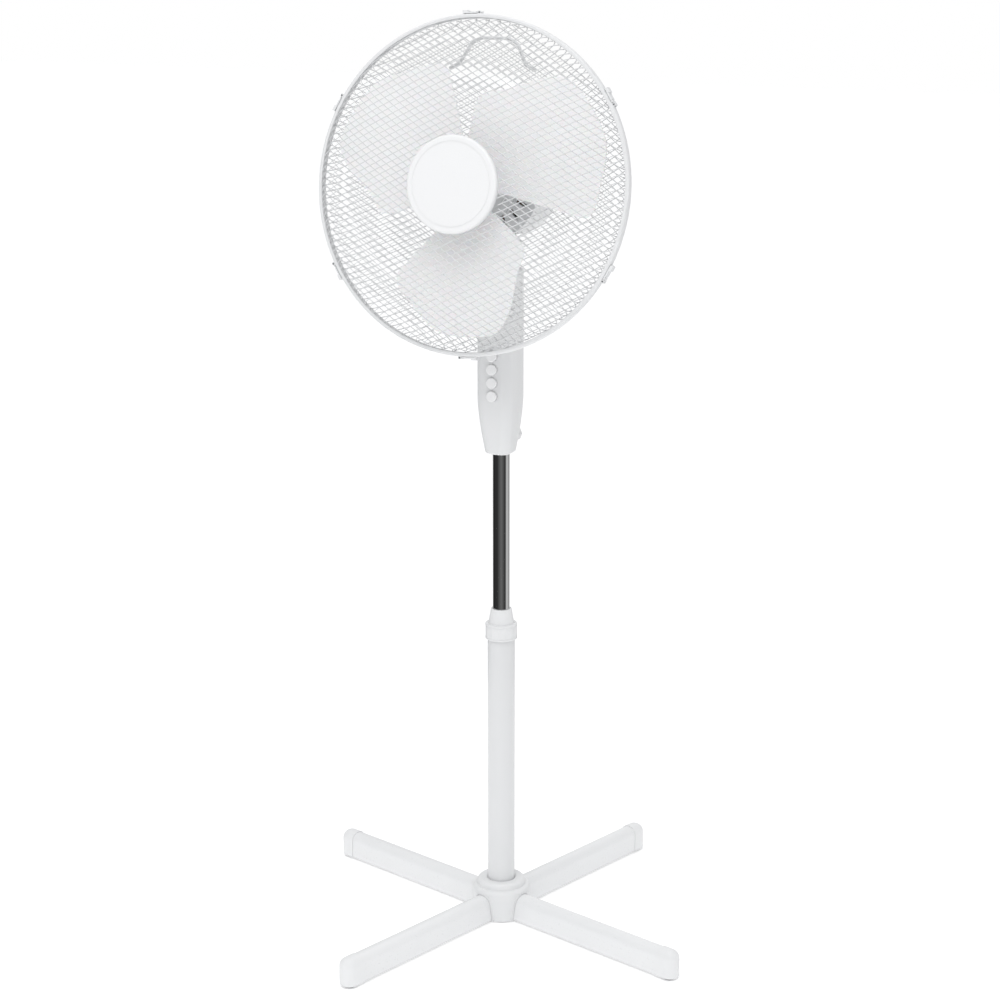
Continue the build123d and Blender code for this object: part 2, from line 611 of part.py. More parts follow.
def box_shell():
    shell = box_form(0) - box_form(BOX_WALL)
    shell -= rod(INNER_TUBE_RADIUS + SLIDING_GAP, BOX_BOTTOM - 1, BOX_BOTTOM + 2 * BOX_WALL)
    ear_reach = EAR_INNER + EAR_THICKNESS + EAR_SLOT_GAP
    ear_depth = EAR_RADIUS + EAR_SLOT_GAP
    return shell - block(-ear_reach, ear_reach, -ear_depth, ear_depth, BOX_TOP - 2 * BOX_WALL, BOX_TOP + 1)


def half_space(front):
    """Everything in front of the pole's middle plane, or behind it, less the part line."""
    near, far = (-BOX_DEPTH, -PART_LINE) if front else (PART_LINE, BOX_DEPTH)
    return block(-BOX_WIDTH, BOX_WIDTH, near, far, BOX_BOTTOM - 5, BOX_TOP + 5)


def box_front_shell(shell, filled):
    front = shell & half_space(True)
    heights = button_heights()
    for height in (heights[0] - SWITCH_POST_MARGIN, heights[-1] + SWITCH_POST_MARGIN):
        front += rod_along_y(SWITCH_POST_RADIUS, -BOX_DEPTH, SWITCH_FACE, 0, height) & filled
    for height in heights:
        front -= rod_along_y(BUTTON_RADIUS + BUTTON_GAP, -BOX_DEPTH, BUTTON_BACK, 0, height)
    for x, height in box_screw_places():
        front += rod_along_y(BOX_BOSS_RADIUS, -BOX_DEPTH, -PART_LINE, x, height) & filled
        front -= rod_along_y(BOX_SCREW_RADIUS + SEAT_GAP, -BOX_SCREW_LENGTH - 1, 0, x, height)
    return front


def box_rear_shell(shell, filled):
    rear = shell & half_space(False)
    seat = BOX_BACK_FACE - BOX_SCREW_SEAT_DEPTH
    for x, height in box_screw_places():
        rear += rod_along_y(BOX_BOSS_RADIUS, PART_LINE, BOX_DEPTH, x, height) & filled
        rear -= rod_along_y(BOX_SCREW_RADIUS + SEAT_GAP, 0, BOX_DEPTH, x, height)
        rear -= rod_along_y(BOX_SCREW_HEAD_RADIUS + 4 * SEAT_GAP, seat, BOX_DEPTH, x, height)
    rear -= rod_along_y(CLAMP_SCREW_RADIUS + HOLE_GAP, SOCKET_RADIUS, BOX_DEPTH, 0, CLAMP_HEIGHT)
    return rear - rod_along_y(GLAND_RADIUS - GLAND_STEP + SEAT_GAP, SOCKET_RADIUS, BOX_DEPTH, 0, GLAND_HEIGHT)


def box_screws():
    screws = []
    seat = BOX_BACK_FACE - BOX_SCREW_SEAT_DEPTH
    for x, height in box_screw_places():
        head = rod_along_y(BOX_SCREW_HEAD_RADIUS, seat, seat + BOX_SCREW_HEAD, x, height)
        screws.append(head + rod_along_y(BOX_SCREW_RADIUS, -BOX_SCREW_LENGTH, seat, x, height))
    return screws


def tube_socket():
    low = BOX_BOTTOM + BOX_WALL + 2
    bore = INNER_TUBE_RADIUS + SLIDING_GAP
    socket = rod(SOCKET_RADIUS, low, SOCKET_TOP) - rod(bore, low, INNER_TUBE_TOP + SLIDING_GAP)
    socket -= rod(bore - SOCKET_WAY, INNER_TUBE_TOP, SOCKET_TOP)
    return socket - rod_along_y(CLAMP_SCREW_RADIUS + RUNNING_GAP, 5, SOCKET_RADIUS + 1, 0, CLAMP_HEIGHT)


def tilt_bracket():
    width = 2 * (EAR_INNER + EAR_THICKNESS)
    plate = extrude(RectangleRounded(width, 2 * EAR_RADIUS, BRACKET_CORNER), BRACKET_PLATE)
    bracket = Pos(0, 0, SOCKET_TOP) * plate
    for side in (-1, 1):
        low, high = sorted((side * EAR_INNER, side * (EAR_INNER + EAR_THICKNESS)))
        ear = block(low, high, -EAR_RADIUS, EAR_RADIUS, SOCKET_TOP, PIVOT_HEIGHT)
        ear += rod_along_x(EAR_RADIUS, low, high, 0, PIVOT_HEIGHT)
        bracket += ear - rod_along_x(TILT_BOLT_RADIUS + SEAT_GAP, low, high, 0, PIVOT_HEIGHT)
    return bracket


def switch_block():
    heights = button_heights()
    half = SWITCH_WIDTH / 2
    low, high = heights[0] - SWITCH_MARGIN, heights[-1] + SWITCH_MARGIN
    body = block(-half, half, SWITCH_FACE, SWITCH_BACK, low, high)
    hole_end = SWITCH_BACK - SWITCH_END_WALL
    for height in heights:
        body -= rod_along_y(BUTTON_STEM_RADIUS + BUTTON_GAP, SWITCH_FACE, hole_end, 0, height)
    return body


def button(number):
    height = button_heights()[number]
    cap = rod_along_y(BUTTON_RADIUS, BUTTON_FACE, BUTTON_BACK, 0, height)
    cap = fillet(cap.faces().sort_by(Axis.Y)[0].edges(), BUTTON_FILLET)
    cap += rod_along_y(BUTTON_RADIUS + BUTTON_FLANGE, BUTTON_FLANGE_FACE, BUTTON_BACK, 0, height)
    return cap + rod_along_y(BUTTON_STEM_RADIUS, BUTTON_BACK, SWITCH_FACE + BUTTON_STEM_ENTRY, 0, height)


def cord_gland():
    step = GLAND_RADIUS - GLAND_STEP
    body = turned(
        (GLAND_BORE, -2 * BOX_WALL), (step, -2 * BOX_WALL), (step, SEAT_GAP), (GLAND_RADIUS, SEAT_GAP),
        (GLAND_RADIUS, BOX_WALL), (step, GLAND_LENGTH), (GLAND_BORE, GLAND_LENGTH),
    )
    return Pos(0, BOX_BACK_FACE, GLAND_HEIGHT) * Rot(X=-90) * body


def clamp_knob():
    back = CLAMP_KNOB_TIP - CLAMP_KNOB_LENGTH
    knob = rod_along_y(CLAMP_KNOB_RADIUS - 1, back, CLAMP_KNOB_TIP, 0, CLAMP_HEIGHT)
    knob = fillet(knob.faces().sort_by(Axis.Y)[-1].edges(), CLAMP_KNOB_FILLET)
    for number in range(CLAMP_KNOB_RIBS):
        x, z = polar(CLAMP_KNOB_RADIUS - CLAMP_RIB_RADIUS, 360 / CLAMP_KNOB_RIBS * number)
        rib_end = CLAMP_KNOB_TIP - CLAMP_KNOB_FILLET
        knob += rod_along_y(CLAMP_RIB_RADIUS, back + 1, rib_end, x, CLAMP_HEIGHT + z)
    tip = INNER_TUBE_RADIUS + SLIDING_GAP
    return knob + rod_along_y(CLAMP_SCREW_RADIUS, tip, back, 0, CLAMP_HEIGHT)


# ---- Neck, in the tilted frame: origin at the tilt bolt, z towards the fan axis -------------
def neck_casting():
    half = EAR_INNER - SLIDING_GAP
    depth = NECK_HALF_DEPTH
    plate_low = NECK_PLATE_TOP - NECK_PLATE_THICKNESS
    neck = rod_along_x(TONGUE_RADIUS, -half, half)
    neck += block(-half, half, -depth, depth, 0, plate_low)
    neck += rod(NECK_PLATE_RADIUS, plate_low, NECK_PLATE_TOP)
    neck += rod(LINK_PIN_RADIUS, NECK_PLATE_TOP, NECK_PLATE_TOP + LINK_PIN_HEIGHT, -LINK_PIN_OFFSET)
    neck -= rod_along_x(TILT_BOLT_RADIUS + RUNNING_GAP, -half, half)
    neck -= rod(OSC_PIN_RADIUS + SEAT_GAP, OSC_PIN_BOTTOM, NECK_PLATE_TOP)
    return TILTED * neck


def osc_pin():
    return TILTED * rod(OSC_PIN_RADIUS, OSC_PIN_BOTTOM, OSC_PIN_TOP)


def hexagon(low, high):
    return Pos(low, 0, 0) * Rot(Y=90) * extrude(RegularPolygon(HEX_RADIUS, 6), high - low)


def tilt_bolt():
    ear_face = EAR_INNER + EAR_THICKNESS
    shank = rod_along_x(TILT_BOLT_RADIUS, -ear_face - 2 * HEX_HEIGHT, ear_face)
    return Pos(0, 0, PIVOT_HEIGHT) * (hexagon(ear_face, ear_face + HEX_HEIGHT) + shank)


def tilt_nut():
    ear_face = EAR_INNER + EAR_THICKNESS
    nut = hexagon(-ear_face - HEX_HEIGHT - 1, -ear_face)
    return Pos(0, 0, PIVOT_HEIGHT) * (nut - rod_along_x(TILT_BOLT_RADIUS + SEAT_GAP, -BOX_WIDTH, 0))


def osc_link():
    """From the neck's stud to under the crank; its crank eye stays open below the crank pin."""
    low = NECK_PLATE_TOP + LAYER_GAP
    high = low + LINK_THICKNESS
    end = (-LINK_PIN_OFFSET - CRANK_THROW, CRANK_BACK)
    start = (-LINK_PIN_OFFSET, 0.0)
    run = hypot(end[0] - start[0], end[1] - start[1])
    angle = degrees(atan2(end[1] - start[1], end[0] - start[0]))
    flat = SlotCenterToCenter(run, 2 * LINK_EYE_RADIUS)
    arm = Pos(start[0], start[1], low) * Rot(Z=angle) * Pos(run / 2, 0, 0)
    link = arm * extrude(flat, LINK_THICKNESS)
    link -= rod(LINK_PIN_RADIUS + RUNNING_GAP, low, high, *start)
    link -= rod(LINK_PIN_RADIUS + RUNNING_GAP, low, high, *end)
    return TILTED * link


def osc_crank():
    low = NECK_PLATE_TOP + LAYER_GAP + LINK_THICKNESS + LAYER_GAP
    disc_top = low + CRANK_THICKNESS
    shaft_top = FAN_AXIS_RISE + GEARBOX_BOTTOM + GEARBOX_WALL + CRANK_SHAFT_IN_BOX
    crank = rod(CRANK_RADIUS, low, disc_top, -LINK_PIN_OFFSET, CRANK_BACK)
    crank += rod(CRANK_SHAFT_RADIUS, disc_top, shaft_top, -LINK_PIN_OFFSET, CRANK_BACK)
    pin_x = -LINK_PIN_OFFSET - CRANK_THROW
    crank += rod(LINK_PIN_RADIUS + 1, disc_top, disc_top + CRANK_RIVET, pin_x, CRANK_BACK)
    return TILTED * crank


# ---- Motor, in the fan frame ---------------------------------------------------------------
def upright(shape):
    """Takes a shape in the tilted frame to the fan frame."""
    return Rot(X=-90) * Pos(0, 0, -FAN_AXIS_RISE) * shape


def osc_boss_space():
    return upright(rod(OSC_BOSS_RADIUS + HOLE_GAP, NECK_PLATE_THICKNESS, OSC_BOSS_TOP))


def knob_stem_hole():
    hole = rod(OSC_KNOB_STEM + SLIDING_GAP, FAN_AXIS_RISE, FAN_AXIS_RISE + 2 * MOTOR_RADIUS, 0, OSC_KNOB_BACK)
    return upright(hole)


def crank_shaft_hole(gap):
    high = FAN_AXIS_RISE - WORM_RADIUS
    return upright(rod(CRANK_SHAFT_RADIUS + gap, NECK_PLATE_TOP, high, -LINK_PIN_OFFSET, CRANK_BACK))


def cover_screw_places():
    return [polar(COVER_SCREW_CIRCLE, angle) for angle in (45, 135, 225, 315)]


def motor_frame():
    outer = MOTOR_RADIUS - MOTOR_WALL - FRAME_COVER_GAP
    ring = pipe(outer, STATOR_RADIUS + SEAT_GAP, -FRAME_HALF_LENGTH, FRAME_HALF_LENGTH)
    for x, y in cover_screw_places():
        ring -= rod(COVER_SCREW_RADIUS + SEAT_GAP, -FRAME_HALF_LENGTH, 0, x, y)
    ring += upright(rod(OSC_BOSS_RADIUS, NECK_PLATE_TOP + SLIDING_GAP, OSC_BOSS_TOP))
    return FAN * (ring - upright(rod(OSC_PIN_RADIUS + RUNNING_GAP, 0, OSC_PIN_TOP + SLIDING_GAP)))


def motor_front_cover():
    inner = MOTOR_RADIUS - MOTOR_WALL
    seat = BEARING_RADIUS + SEAT_GAP
    boss_front = MOTOR_FRONT + GUARD_BOSS_LENGTH
    seat_low = MOTOR_FRONT - BEARING_SEAT_WALL
    cover = turned_soft(
        (inner, PART_LINE, 0), (MOTOR_RADIUS, PART_LINE, 0), (MOTOR_RADIUS, MOTOR_FRONT, MOTOR_FRONT_FILLET),
        (GUARD_BOSS_RADIUS, MOTOR_FRONT, 0), (GUARD_BOSS_RADIUS, boss_front, 0), (seat, boss_front, 0),
        (seat, seat_low, 0), (seat + BEARING_SEAT_WALL, seat_low, 0),
        (seat + BEARING_SEAT_WALL, MOTOR_FRONT - MOTOR_WALL, 0),
        (inner, MOTOR_FRONT - MOTOR_WALL, MOTOR_FRONT_FILLET - MOTOR_WALL),
    )
    for number in range(VENT_COUNT):
        half = VENT_WIDTH / 2
        slot = block(VENT_INNER, VENT_OUTER, -half, half, seat_low, MOTOR_FRONT + 1)
        cover -= Rot(Z=360 / VENT_COUNT * number) * slot
    return FAN * (cover - osc_boss_space())


def rear_cover_form(shrink):
    """The rear cover's outer form, or its hollow when shrunk by the wall."""
    back = -MOTOR_BACK + shrink
    face = MOTOR_REAR_FACE_RADIUS - shrink / 2
    outer = MOTOR_RADIUS - shrink
    return turned_soft(
        (0, -PART_LINE, 0), (outer, -PART_LINE, 0), (outer, -MOTOR_SHOULDER / 2, MOTOR_SIDE_FILLET),
        (outer - MOTOR_SHOULDER_DROP, -MOTOR_SHOULDER, MOTOR_SHOULDER_FILLET),
        (face, back, MOTOR_FACE_FILLET - shrink), (0, back, 0),
    )


def motor_rear_cover():
    form = rear_cover_form(0)
    cover = form - rear_cover_form(MOTOR_WALL)
    for x, y in cover_screw_places():
        boss = rod(COVER_SCREW_BOSS_RADIUS, -MOTOR_BACK, -FRAME_HALF_LENGTH - PART_LINE, x, y) & form
        cover += boss - rod(COVER_SCREW_RADIUS + SEAT_GAP, -MOTOR_BACK, 0, x, y)
        cover -= rod(COVER_SCREW_HEAD_RADIUS + 4 * SEAT_GAP, -MOTOR_BACK, COVER_SCREW_SEAT, x, y)
    for number in range(REAR_SLOT_COUNT):
        middle = (number - (REAR_SLOT_COUNT - 1) / 2) * REAR_SLOT_PITCH
        low, high = middle - REAR_SLOT_WIDTH / 2, middle + REAR_SLOT_WIDTH / 2
        reach = REAR_SLOT_HALF_LENGTH
        cover -= block(-reach, reach, low, high, -MOTOR_BACK - 1, -MOTOR_BACK + 2 * MOTOR_WALL)
    return FAN * (cover - osc_boss_space() - crank_shaft_hole(CRANK_HOLE_GAP) - knob_stem_hole())


def stator_core():
    core = pipe(STATOR_RADIUS, STATOR_BORE, -STATOR_HALF_LENGTH, STATOR_HALF_LENGTH)
    half = STATOR_SLOT_WIDTH / 2
    reach = STATOR_HALF_LENGTH + 1
    slot = block(STATOR_BORE - 1, COIL_OUTER, -half, half, -reach, reach)
    for number in range(STATOR_SLOTS):
        core -= Rot(Z=360 / STATOR_SLOTS * number) * slot
    return FAN * core


def stator_coils():
    """Slot windings joined by two end rings."""
    near = STATOR_HALF_LENGTH + COIL_GAP
    far = STATOR_HALF_LENGTH + COIL_OVERHANG
    coils = pipe(COIL_OUTER, COIL_INNER, near, far) + pipe(COIL_OUTER, COIL_INNER, -far, -near)
    half = STATOR_SLOT_WIDTH / 2 - COIL_GAP
    for number in range(STATOR_SLOTS):
        wire = block(COIL_INNER + COIL_GAP, COIL_OUTER - COIL_GAP, -half, half, 1 - far, far - 1)
        coils += Rot(Z=360 / STATOR_SLOTS * number) * wire
    return FAN * coils


def shaft_bearings():
    bush = pipe(BEARING_RADIUS, SHAFT_RADIUS + RUNNING_GAP, 0, BEARING_LENGTH)
    front = Pos(0, 0, MOTOR_FRONT - BEARING_SEAT_WALL / 2) * bush
    back = Pos(0, 0, GEARBOX_FRONT - BEARING_LENGTH / 2) * bush
    return [FAN * front, FAN * back]


def gearbox():
    half = GEARBOX_HALF_WIDTH
    wall = GEARBOX_WALL
    case = block(-half, half, GEARBOX_BOTTOM, GEARBOX_TOP, GEARBOX_BACK, GEARBOX_FRONT)
    case = fillet(case.edges().filter_by(Axis.Z), GEARBOX_FILLET)
    case -= block(
        -half + wall, half - wall, GEARBOX_BOTTOM + wall, GEARBOX_TOP - wall,
        GEARBOX_BACK + wall, GEARBOX_FRONT - wall,
    )
    seat = BEARING_RADIUS + SEAT_GAP
    reach = BEARING_LENGTH / 2
    case += rod(seat + wall, GEARBOX_FRONT - reach, GEARBOX_FRONT + BEARING_SEAT_WALL)
    case -= rod(seat, GEARBOX_FRONT - reach - 1, GEARBOX_FRONT + BEARING_SEAT_WALL)
    return FAN * (case - crank_shaft_hole(RUNNING_GAP) - knob_stem_hole())


def osc_knob():
    stem_low = FAN_AXIS_RISE + WORM_RADIUS + 2
    head_low = FAN_AXIS_RISE + MOTOR_RADIUS + OSC_KNOB_STAND
    knob = rod(OSC_KNOB_STEM, stem_low, head_low, 0, OSC_KNOB_BACK)
    head = rod(OSC_KNOB_RADIUS, head_low, head_low + OSC_KNOB_HEIGHT, 0, OSC_KNOB_BACK)
    head = fillet(head.edges().filter_by(GeomType.CIRCLE), OSC_KNOB_FILLET)
    return FAN * upright(knob + head)


def guard_nut():
    low = MOTOR_FRONT + PART_LINE + REAR_PLATE_THICKNESS + PART_LINE
    outer = GUARD_BOSS_RADIUS + GUARD_NUT_WALL
    nut = pipe(outer, GUARD_BOSS_RADIUS + SEAT_GAP, low, low + GUARD_NUT_HEIGHT)
    for number in range(GUARD_NUT_GRIPS):
        place = Pos(*polar(outer + 1, 360 / GUARD_NUT_GRIPS * number), 0)
        nut -= place * rod(3, low, low + GUARD_NUT_HEIGHT)
    return FAN * nut


# ---- Rotor, in the fan frame ---------------------------------------------------------------
def motor_shaft():
    worm_middle = -OSC_KNOB_BACK - SLIDING_GAP
    worm = rod(WORM_RADIUS, worm_middle - WORM_HALF_LENGTH, worm_middle + WORM_HALF_LENGTH)
    return FAN * (rod(SHAFT_RADIUS, SHAFT_BACK, SHAFT_FRONT) + worm)


def rotor_core():
    half = STATOR_HALF_LENGTH + 1
    return FAN * pipe(ROTOR_RADIUS, SHAFT_RADIUS + SEAT_GAP, -half, half)


def blade_height(angle):
    share = (angle - BLADE_LEAD_ANGLE) / (BLADE_TRAIL_ANGLE - BLADE_LEAD_ANGLE)
    return BLADE_LEAD_Z + (BLADE_TRAIL_Z - BLADE_LEAD_Z) * share


def blade_outline():
    tip = BLADE_TIP_RADIUS
    root = BLADE_HUB_RADIUS - BLADE_HUB_WALL / 2
    lead, trail = BLADE_LEAD_ANGLE, BLADE_TRAIL_ANGLE
    lead_root, lead_corner = polar(root, lead + 3), polar(BLADE_LEAD_CORNER * tip, lead)
    tip_start, tip_end = polar(tip, lead + 36), polar(tip, trail - 35)
    trail_corner, trail_root = polar(BLADE_TRAIL_CORNER * tip, trail - 9), polar(root, trail + 6)
    return [
        Line(lead_root, lead_corner),
        Spline(lead_corner, polar(BLADE_LEAD_ROUND * tip, lead + 14), tip_start,
               tangents=[Vector(*polar(1, lead)), Vector(*polar(1, lead + 126))]),
        ThreePointArc(tip_start, polar(tip, (lead + trail + 1) / 2), tip_end),
        Spline(tip_end, polar(BLADE_TRAIL_ROUND * tip, trail - 29), trail_corner, trail_root,
               tangents=[Vector(*polar(1, trail + 55)), Vector(*polar(1, trail + 188))]),
        ThreePointArc(trail_root, polar(root, (lead + trail) / 2), lead_root),
    ]


def single_blade():
    """A leaf cut from a helical sheet that reaches a little past its outline."""
    rows, columns, margin = 6, 9, 10.0
    inner, outer = BLADE_HUB_RADIUS - margin, BLADE_TIP_RADIUS + margin
    first, last = BLADE_LEAD_ANGLE - margin, BLADE_TRAIL_ANGLE + 2 * margin
    radii = [inner + (outer - inner) * step / (rows - 1) for step in range(rows)]
    angles = [first + (last - first) * step / (columns - 1) for step in range(columns)]
    grid = [[Vector(*polar(radius, angle), blade_height(angle)) for angle in angles] for radius in radii]
    sheet = Face.make_surface_from_array_of_points(grid)
    plate = Solid.thicken(sheet, BLADE_THICKNESS)
    prism = extrude(make_face(blade_outline()), 2 * (BLADE_TRAIL_Z - BLADE_LEAD_Z))
    return plate & (Pos(0, 0, BLADE_LEAD_Z - 25) * prism)


def fan_blade():
    bore = SHAFT_RADIUS + SEAT_GAP
    sleeve = SHAFT_RADIUS + BLADE_BORE_WALL
    inner = BLADE_HUB_RADIUS - BLADE_HUB_WALL
    face_back = HUB_FRONT - BLADE_HUB_FACE
    hub = turned(
        (bore, HUB_BACK + 8), (sleeve, HUB_BACK + 8), (sleeve, face_back), (inner, face_back),
        (inner, HUB_BACK), (BLADE_HUB_RADIUS, HUB_BACK), (BLADE_HUB_RADIUS, HUB_FRONT), (bore, HUB_FRONT),
    )
    leaf = single_blade()
    for number in range(BLADE_COUNT):
        hub += Rot(Z=360 / BLADE_COUNT * number) * leaf
    return FAN * hub


def spinner():
    low = HUB_FRONT + SPINNER_GAP
    high = low + SPINNER_HEIGHT
    cap = turned(
        (0, low), (SPINNER_RADIUS, low), (SPINNER_RADIUS, (low + high) / 2),
        (SPINNER_TIP_RADIUS, high), (0, high),
    )
    return FAN * (cap - rod(SHAFT_RADIUS + SEAT_GAP, low - 1, SHAFT_FRONT + SPINNER_GAP))


# ---- Guards, in the fan frame --------------------------------------------------------------
def front_dome(radius):
    """Forward distance of the front mesh at a radius: a steep rim and a shallow crown."""
    share = min(radius / MESH_OUTER_RADIUS, 1)
    rise = (1 - share ** FRONT_RIM_POWER) ** FRONT_RIM_ROOT
    return RIM_FORWARD + MESH_SEAT + (FRONT_DEPTH - MESH_SEAT) * rise


def rear_dome(radius):
    """Forward distance of the rear mesh: a steep rim and a cone down to the motor."""
    share = min(radius / MESH_OUTER_RADIUS, 1)
    rim = REAR_RIM_DEPTH * (1 - share ** REAR_RIM_POWER) ** REAR_RIM_ROOT
    return RIM_FORWARD - MESH_SEAT - rim - REAR_CONE_DEPTH * (1 - share ** REAR_CONE_POWER)


def mesh_run(offset, radii, dome, layer, way):
    """One straight run of a mesh, bent only out of the guard's plane."""
    points = []
    for radius in radii:
        along = sqrt(max(radius * radius - offset * offset, 0))
        points.append((way * along, dome(radius + layer)))
    return points


def mesh_wire_runs(offset, outer, dome, layer):
    """The runs of the wire at an offset: two that end at the hub, or one over the crown."""
    bends = [MESH_BEND_REACH * (step / (MESH_BENDS - 1)) ** MESH_BEND_POWER for step in range(MESH_BENDS)]
    radii = [outer * (1 - bend) for bend in bends]
    reach = [radius for radius in radii if radius > abs(offset) + 3]
    if abs(offset) < MESH_INNER_RADIUS - 3:
        reach.append(MESH_INNER_RADIUS)
        return [mesh_run(offset, reach, dome, layer, way) for way in (-1, 1)]
    half = mesh_run(offset, reach, dome, layer, -1)
    crown = [(0.0, dome(abs(offset) + layer))]
    return [half + crown + [(-along, height) for along, height in reversed(half)]]


def mesh_family(angle, dome, side, layer):
    """Parallel wires over the dome. The lower layer is shifted in so that the layers don't touch."""
    outer = MESH_OUTER_RADIUS - layer
    count = int(MESH_LAST_SHARE * outer / MESH_PITCH)
    shift = 0.5 if layer else 0.0
    wires = []
    for number in range(-count, count + 1):
        offset = (number + shift) * MESH_PITCH
        if abs(offset) > MESH_LAST_SHARE * outer:
            continue
        for run in mesh_wire_runs(offset, outer, dome, layer):
            corners = [Vector(along, offset, height - side * layer) for along, height in run]
            disc = Plane(corners[0], z_dir=corners[1] - corners[0]) * Circle(MESH_WIRE_RADIUS)
            wire = sweep(disc, Polyline(*corners), transition=Transition.RIGHT)
            wires.append(Rot(Z=angle) * wire)
    return wires


def guard_mesh(dome, side):
    wires = []
    for angle, layer in zip(MESH_ANGLES, (0.0, MESH_LAYER_STEP)):
        wires += mesh_family(angle, dome, side, layer)
    return [FAN * wire for wire in wires]


def rim_ring(side):
    middle = RIM_FORWARD + side * (RIM_WIRE_RADIUS + RIM_PAIR_GAP)
    circle = Plane.XZ * Pos(RIM_RING_RADIUS, middle) * Circle(RIM_WIRE_RADIUS)
    return revolve(circle, Axis.Z)


def front_guard_frame():
    low = front_dome(MESH_INNER_RADIUS) + MESH_WIRE_RADIUS + SLIDING_GAP
    plate = rod(FRONT_PLATE_RADIUS, low, BADGE_FRONT - BADGE_THICKNESS - PART_LINE)
    return [FAN * rim_ring(1), FAN * (plate - rod(BADGE_STUD_RADIUS, low - 1, BADGE_FRONT))]


def rear_guard_frame():
    low = MOTOR_FRONT + PART_LINE
    plate = pipe(REAR_PLATE_RADIUS, GUARD_BOSS_RADIUS + SLIDING_GAP, low, low + REAR_PLATE_THICKNESS)
    for number in range(VENT_COUNT):
        half = VENT_WIDTH / 2 + SLIDING_GAP
        nut_edge = GUARD_BOSS_RADIUS + GUARD_NUT_WALL
        slot = block(nut_edge + 3, VENT_OUTER + 4, -half, half, low - 1, low + 2 * REAR_PLATE_THICKNESS)
        plate -= Rot(Z=360 / VENT_COUNT * number) * slot
    return [FAN * rim_ring(-1), FAN * plate]


def centre_badge():
    back = BADGE_FRONT - BADGE_THICKNESS
    disc = rod(BADGE_RADIUS, back, BADGE_FRONT)
    disc = fillet(disc.edges().group_by(Axis.Z)[-1], BADGE_FILLET)
    outer = BADGE_GROOVE_RADIUS + BADGE_GROOVE_WIDTH / 2
    disc -= pipe(outer, outer - BADGE_GROOVE_WIDTH, BADGE_FRONT - BADGE_GROOVE_DEPTH, BADGE_FRONT + 1)
    return FAN * (disc + rod(BADGE_STUD_RADIUS - SEAT_GAP, back - BADGE_THICKNESS, back))


def clip_places():
    return [CLIP_FIRST_ANGLE + 360 / CLIP_COUNT * number for number in range(CLIP_COUNT)]


def clip_pin_place():
    """The clip pin's radius and its distance along the rim from the clip's middle."""
    return GUARD_RADIUS + CLIP_STAND + CLIP_THICKNESS / 2, CLIP_PIN_INSET - CLIP_LENGTH / 2


def guard_trim_ring():
    half = TRIM_HALF_WIDTH
    channel_half = TRIM_CHANNEL_HALF
    inner = RIM_RING_RADIUS - RIM_WIRE_RADIUS + 2 * RIM_CHANNEL_GAP
    middle = RIM_FORWARD
    ring = turned_soft(
        (inner, middle - half, 0.4), (GUARD_RADIUS, middle - half, 2.0), (GUARD_RADIUS, middle + half, 2.0),
        (inner, middle + half, 0.4), (inner, middle + channel_half, 0),
        (TRIM_CHANNEL_RADIUS, middle + channel_half, 0.8),
        (TRIM_CHANNEL_RADIUS, middle - channel_half, 0.8), (inner, middle - channel_half, 0),
    )
    pin_radius, pin_along = clip_pin_place()
    near = CLIP_KNUCKLE_HALF + CLIP_LUG_GAP
    for angle in clip_places():
        for side in (-1, 1):
            low, high = sorted((middle + side * near, middle + side * (near + CLIP_LUG_WIDTH)))
            lug = block(
                TRIM_CHANNEL_RADIUS + TRIM_WALL / 2, pin_radius + 2 * CLIP_PIN_RADIUS,
                -CLIP_LENGTH / 2, 2 * pin_along + CLIP_LENGTH / 2, low, high,
            )
            lug -= rod(CLIP_PIN_RADIUS + RUNNING_GAP, low, high, pin_radius, pin_along)
            ring += Rot(Z=angle) * lug
    return FAN * ring


def guard_clip(number):
    """A latch lever on the trim ring: pinned at one end, with a finger tab at the other."""
    low = GUARD_RADIUS + CLIP_STAND
    high = low + CLIP_THICKNESS
    half = CLIP_LENGTH / 2
    pin_radius, pin_along = clip_pin_place()
    left, right = RIM_FORWARD - CLIP_WIDTH / 2, RIM_FORWARD + CLIP_WIDTH / 2
    knuckle_low, knuckle_high = RIM_FORWARD - CLIP_KNUCKLE_HALF, RIM_FORWARD + CLIP_KNUCKLE_HALF
    body_start = pin_along + CLIP_NECK
    lever = block(low, high, body_start, half, left, right)
    lever += block(low, high, pin_along, body_start + 1, knuckle_low, knuckle_high)
    lever += rod(CLIP_THICKNESS / 2, knuckle_low, knuckle_high, pin_radius, pin_along)
    lever += block(high - 0.5, high + CLIP_TAB, half - CLIP_TAB_LENGTH, half, left, right)
    notch_place = Pos(high, body_start + CLIP_NECK, RIM_FORWARD) * Rot(Z=45)
    lever -= notch_place * Box(CLIP_NOTCH, CLIP_NOTCH, 2 * CLIP_WIDTH)
    pin_reach = CLIP_KNUCKLE_HALF + CLIP_LUG_GAP + CLIP_LUG_WIDTH
    lever += rod(CLIP_PIN_RADIUS, RIM_FORWARD - pin_reach, RIM_FORWARD + pin_reach, pin_radius, pin_along)
    return FAN * Rot(Z=clip_places()[number]) * lever


def behind_rear_mesh(x, y):
    """A point of the handle that lies against the rear mesh."""
    rest = MESH_LAYER_STEP + MESH_WIRE_RADIUS + HANDLE_WIRE_RADIUS + SLIDING_GAP
    return x, y, rear_dome(hypot(x, y)) - rest


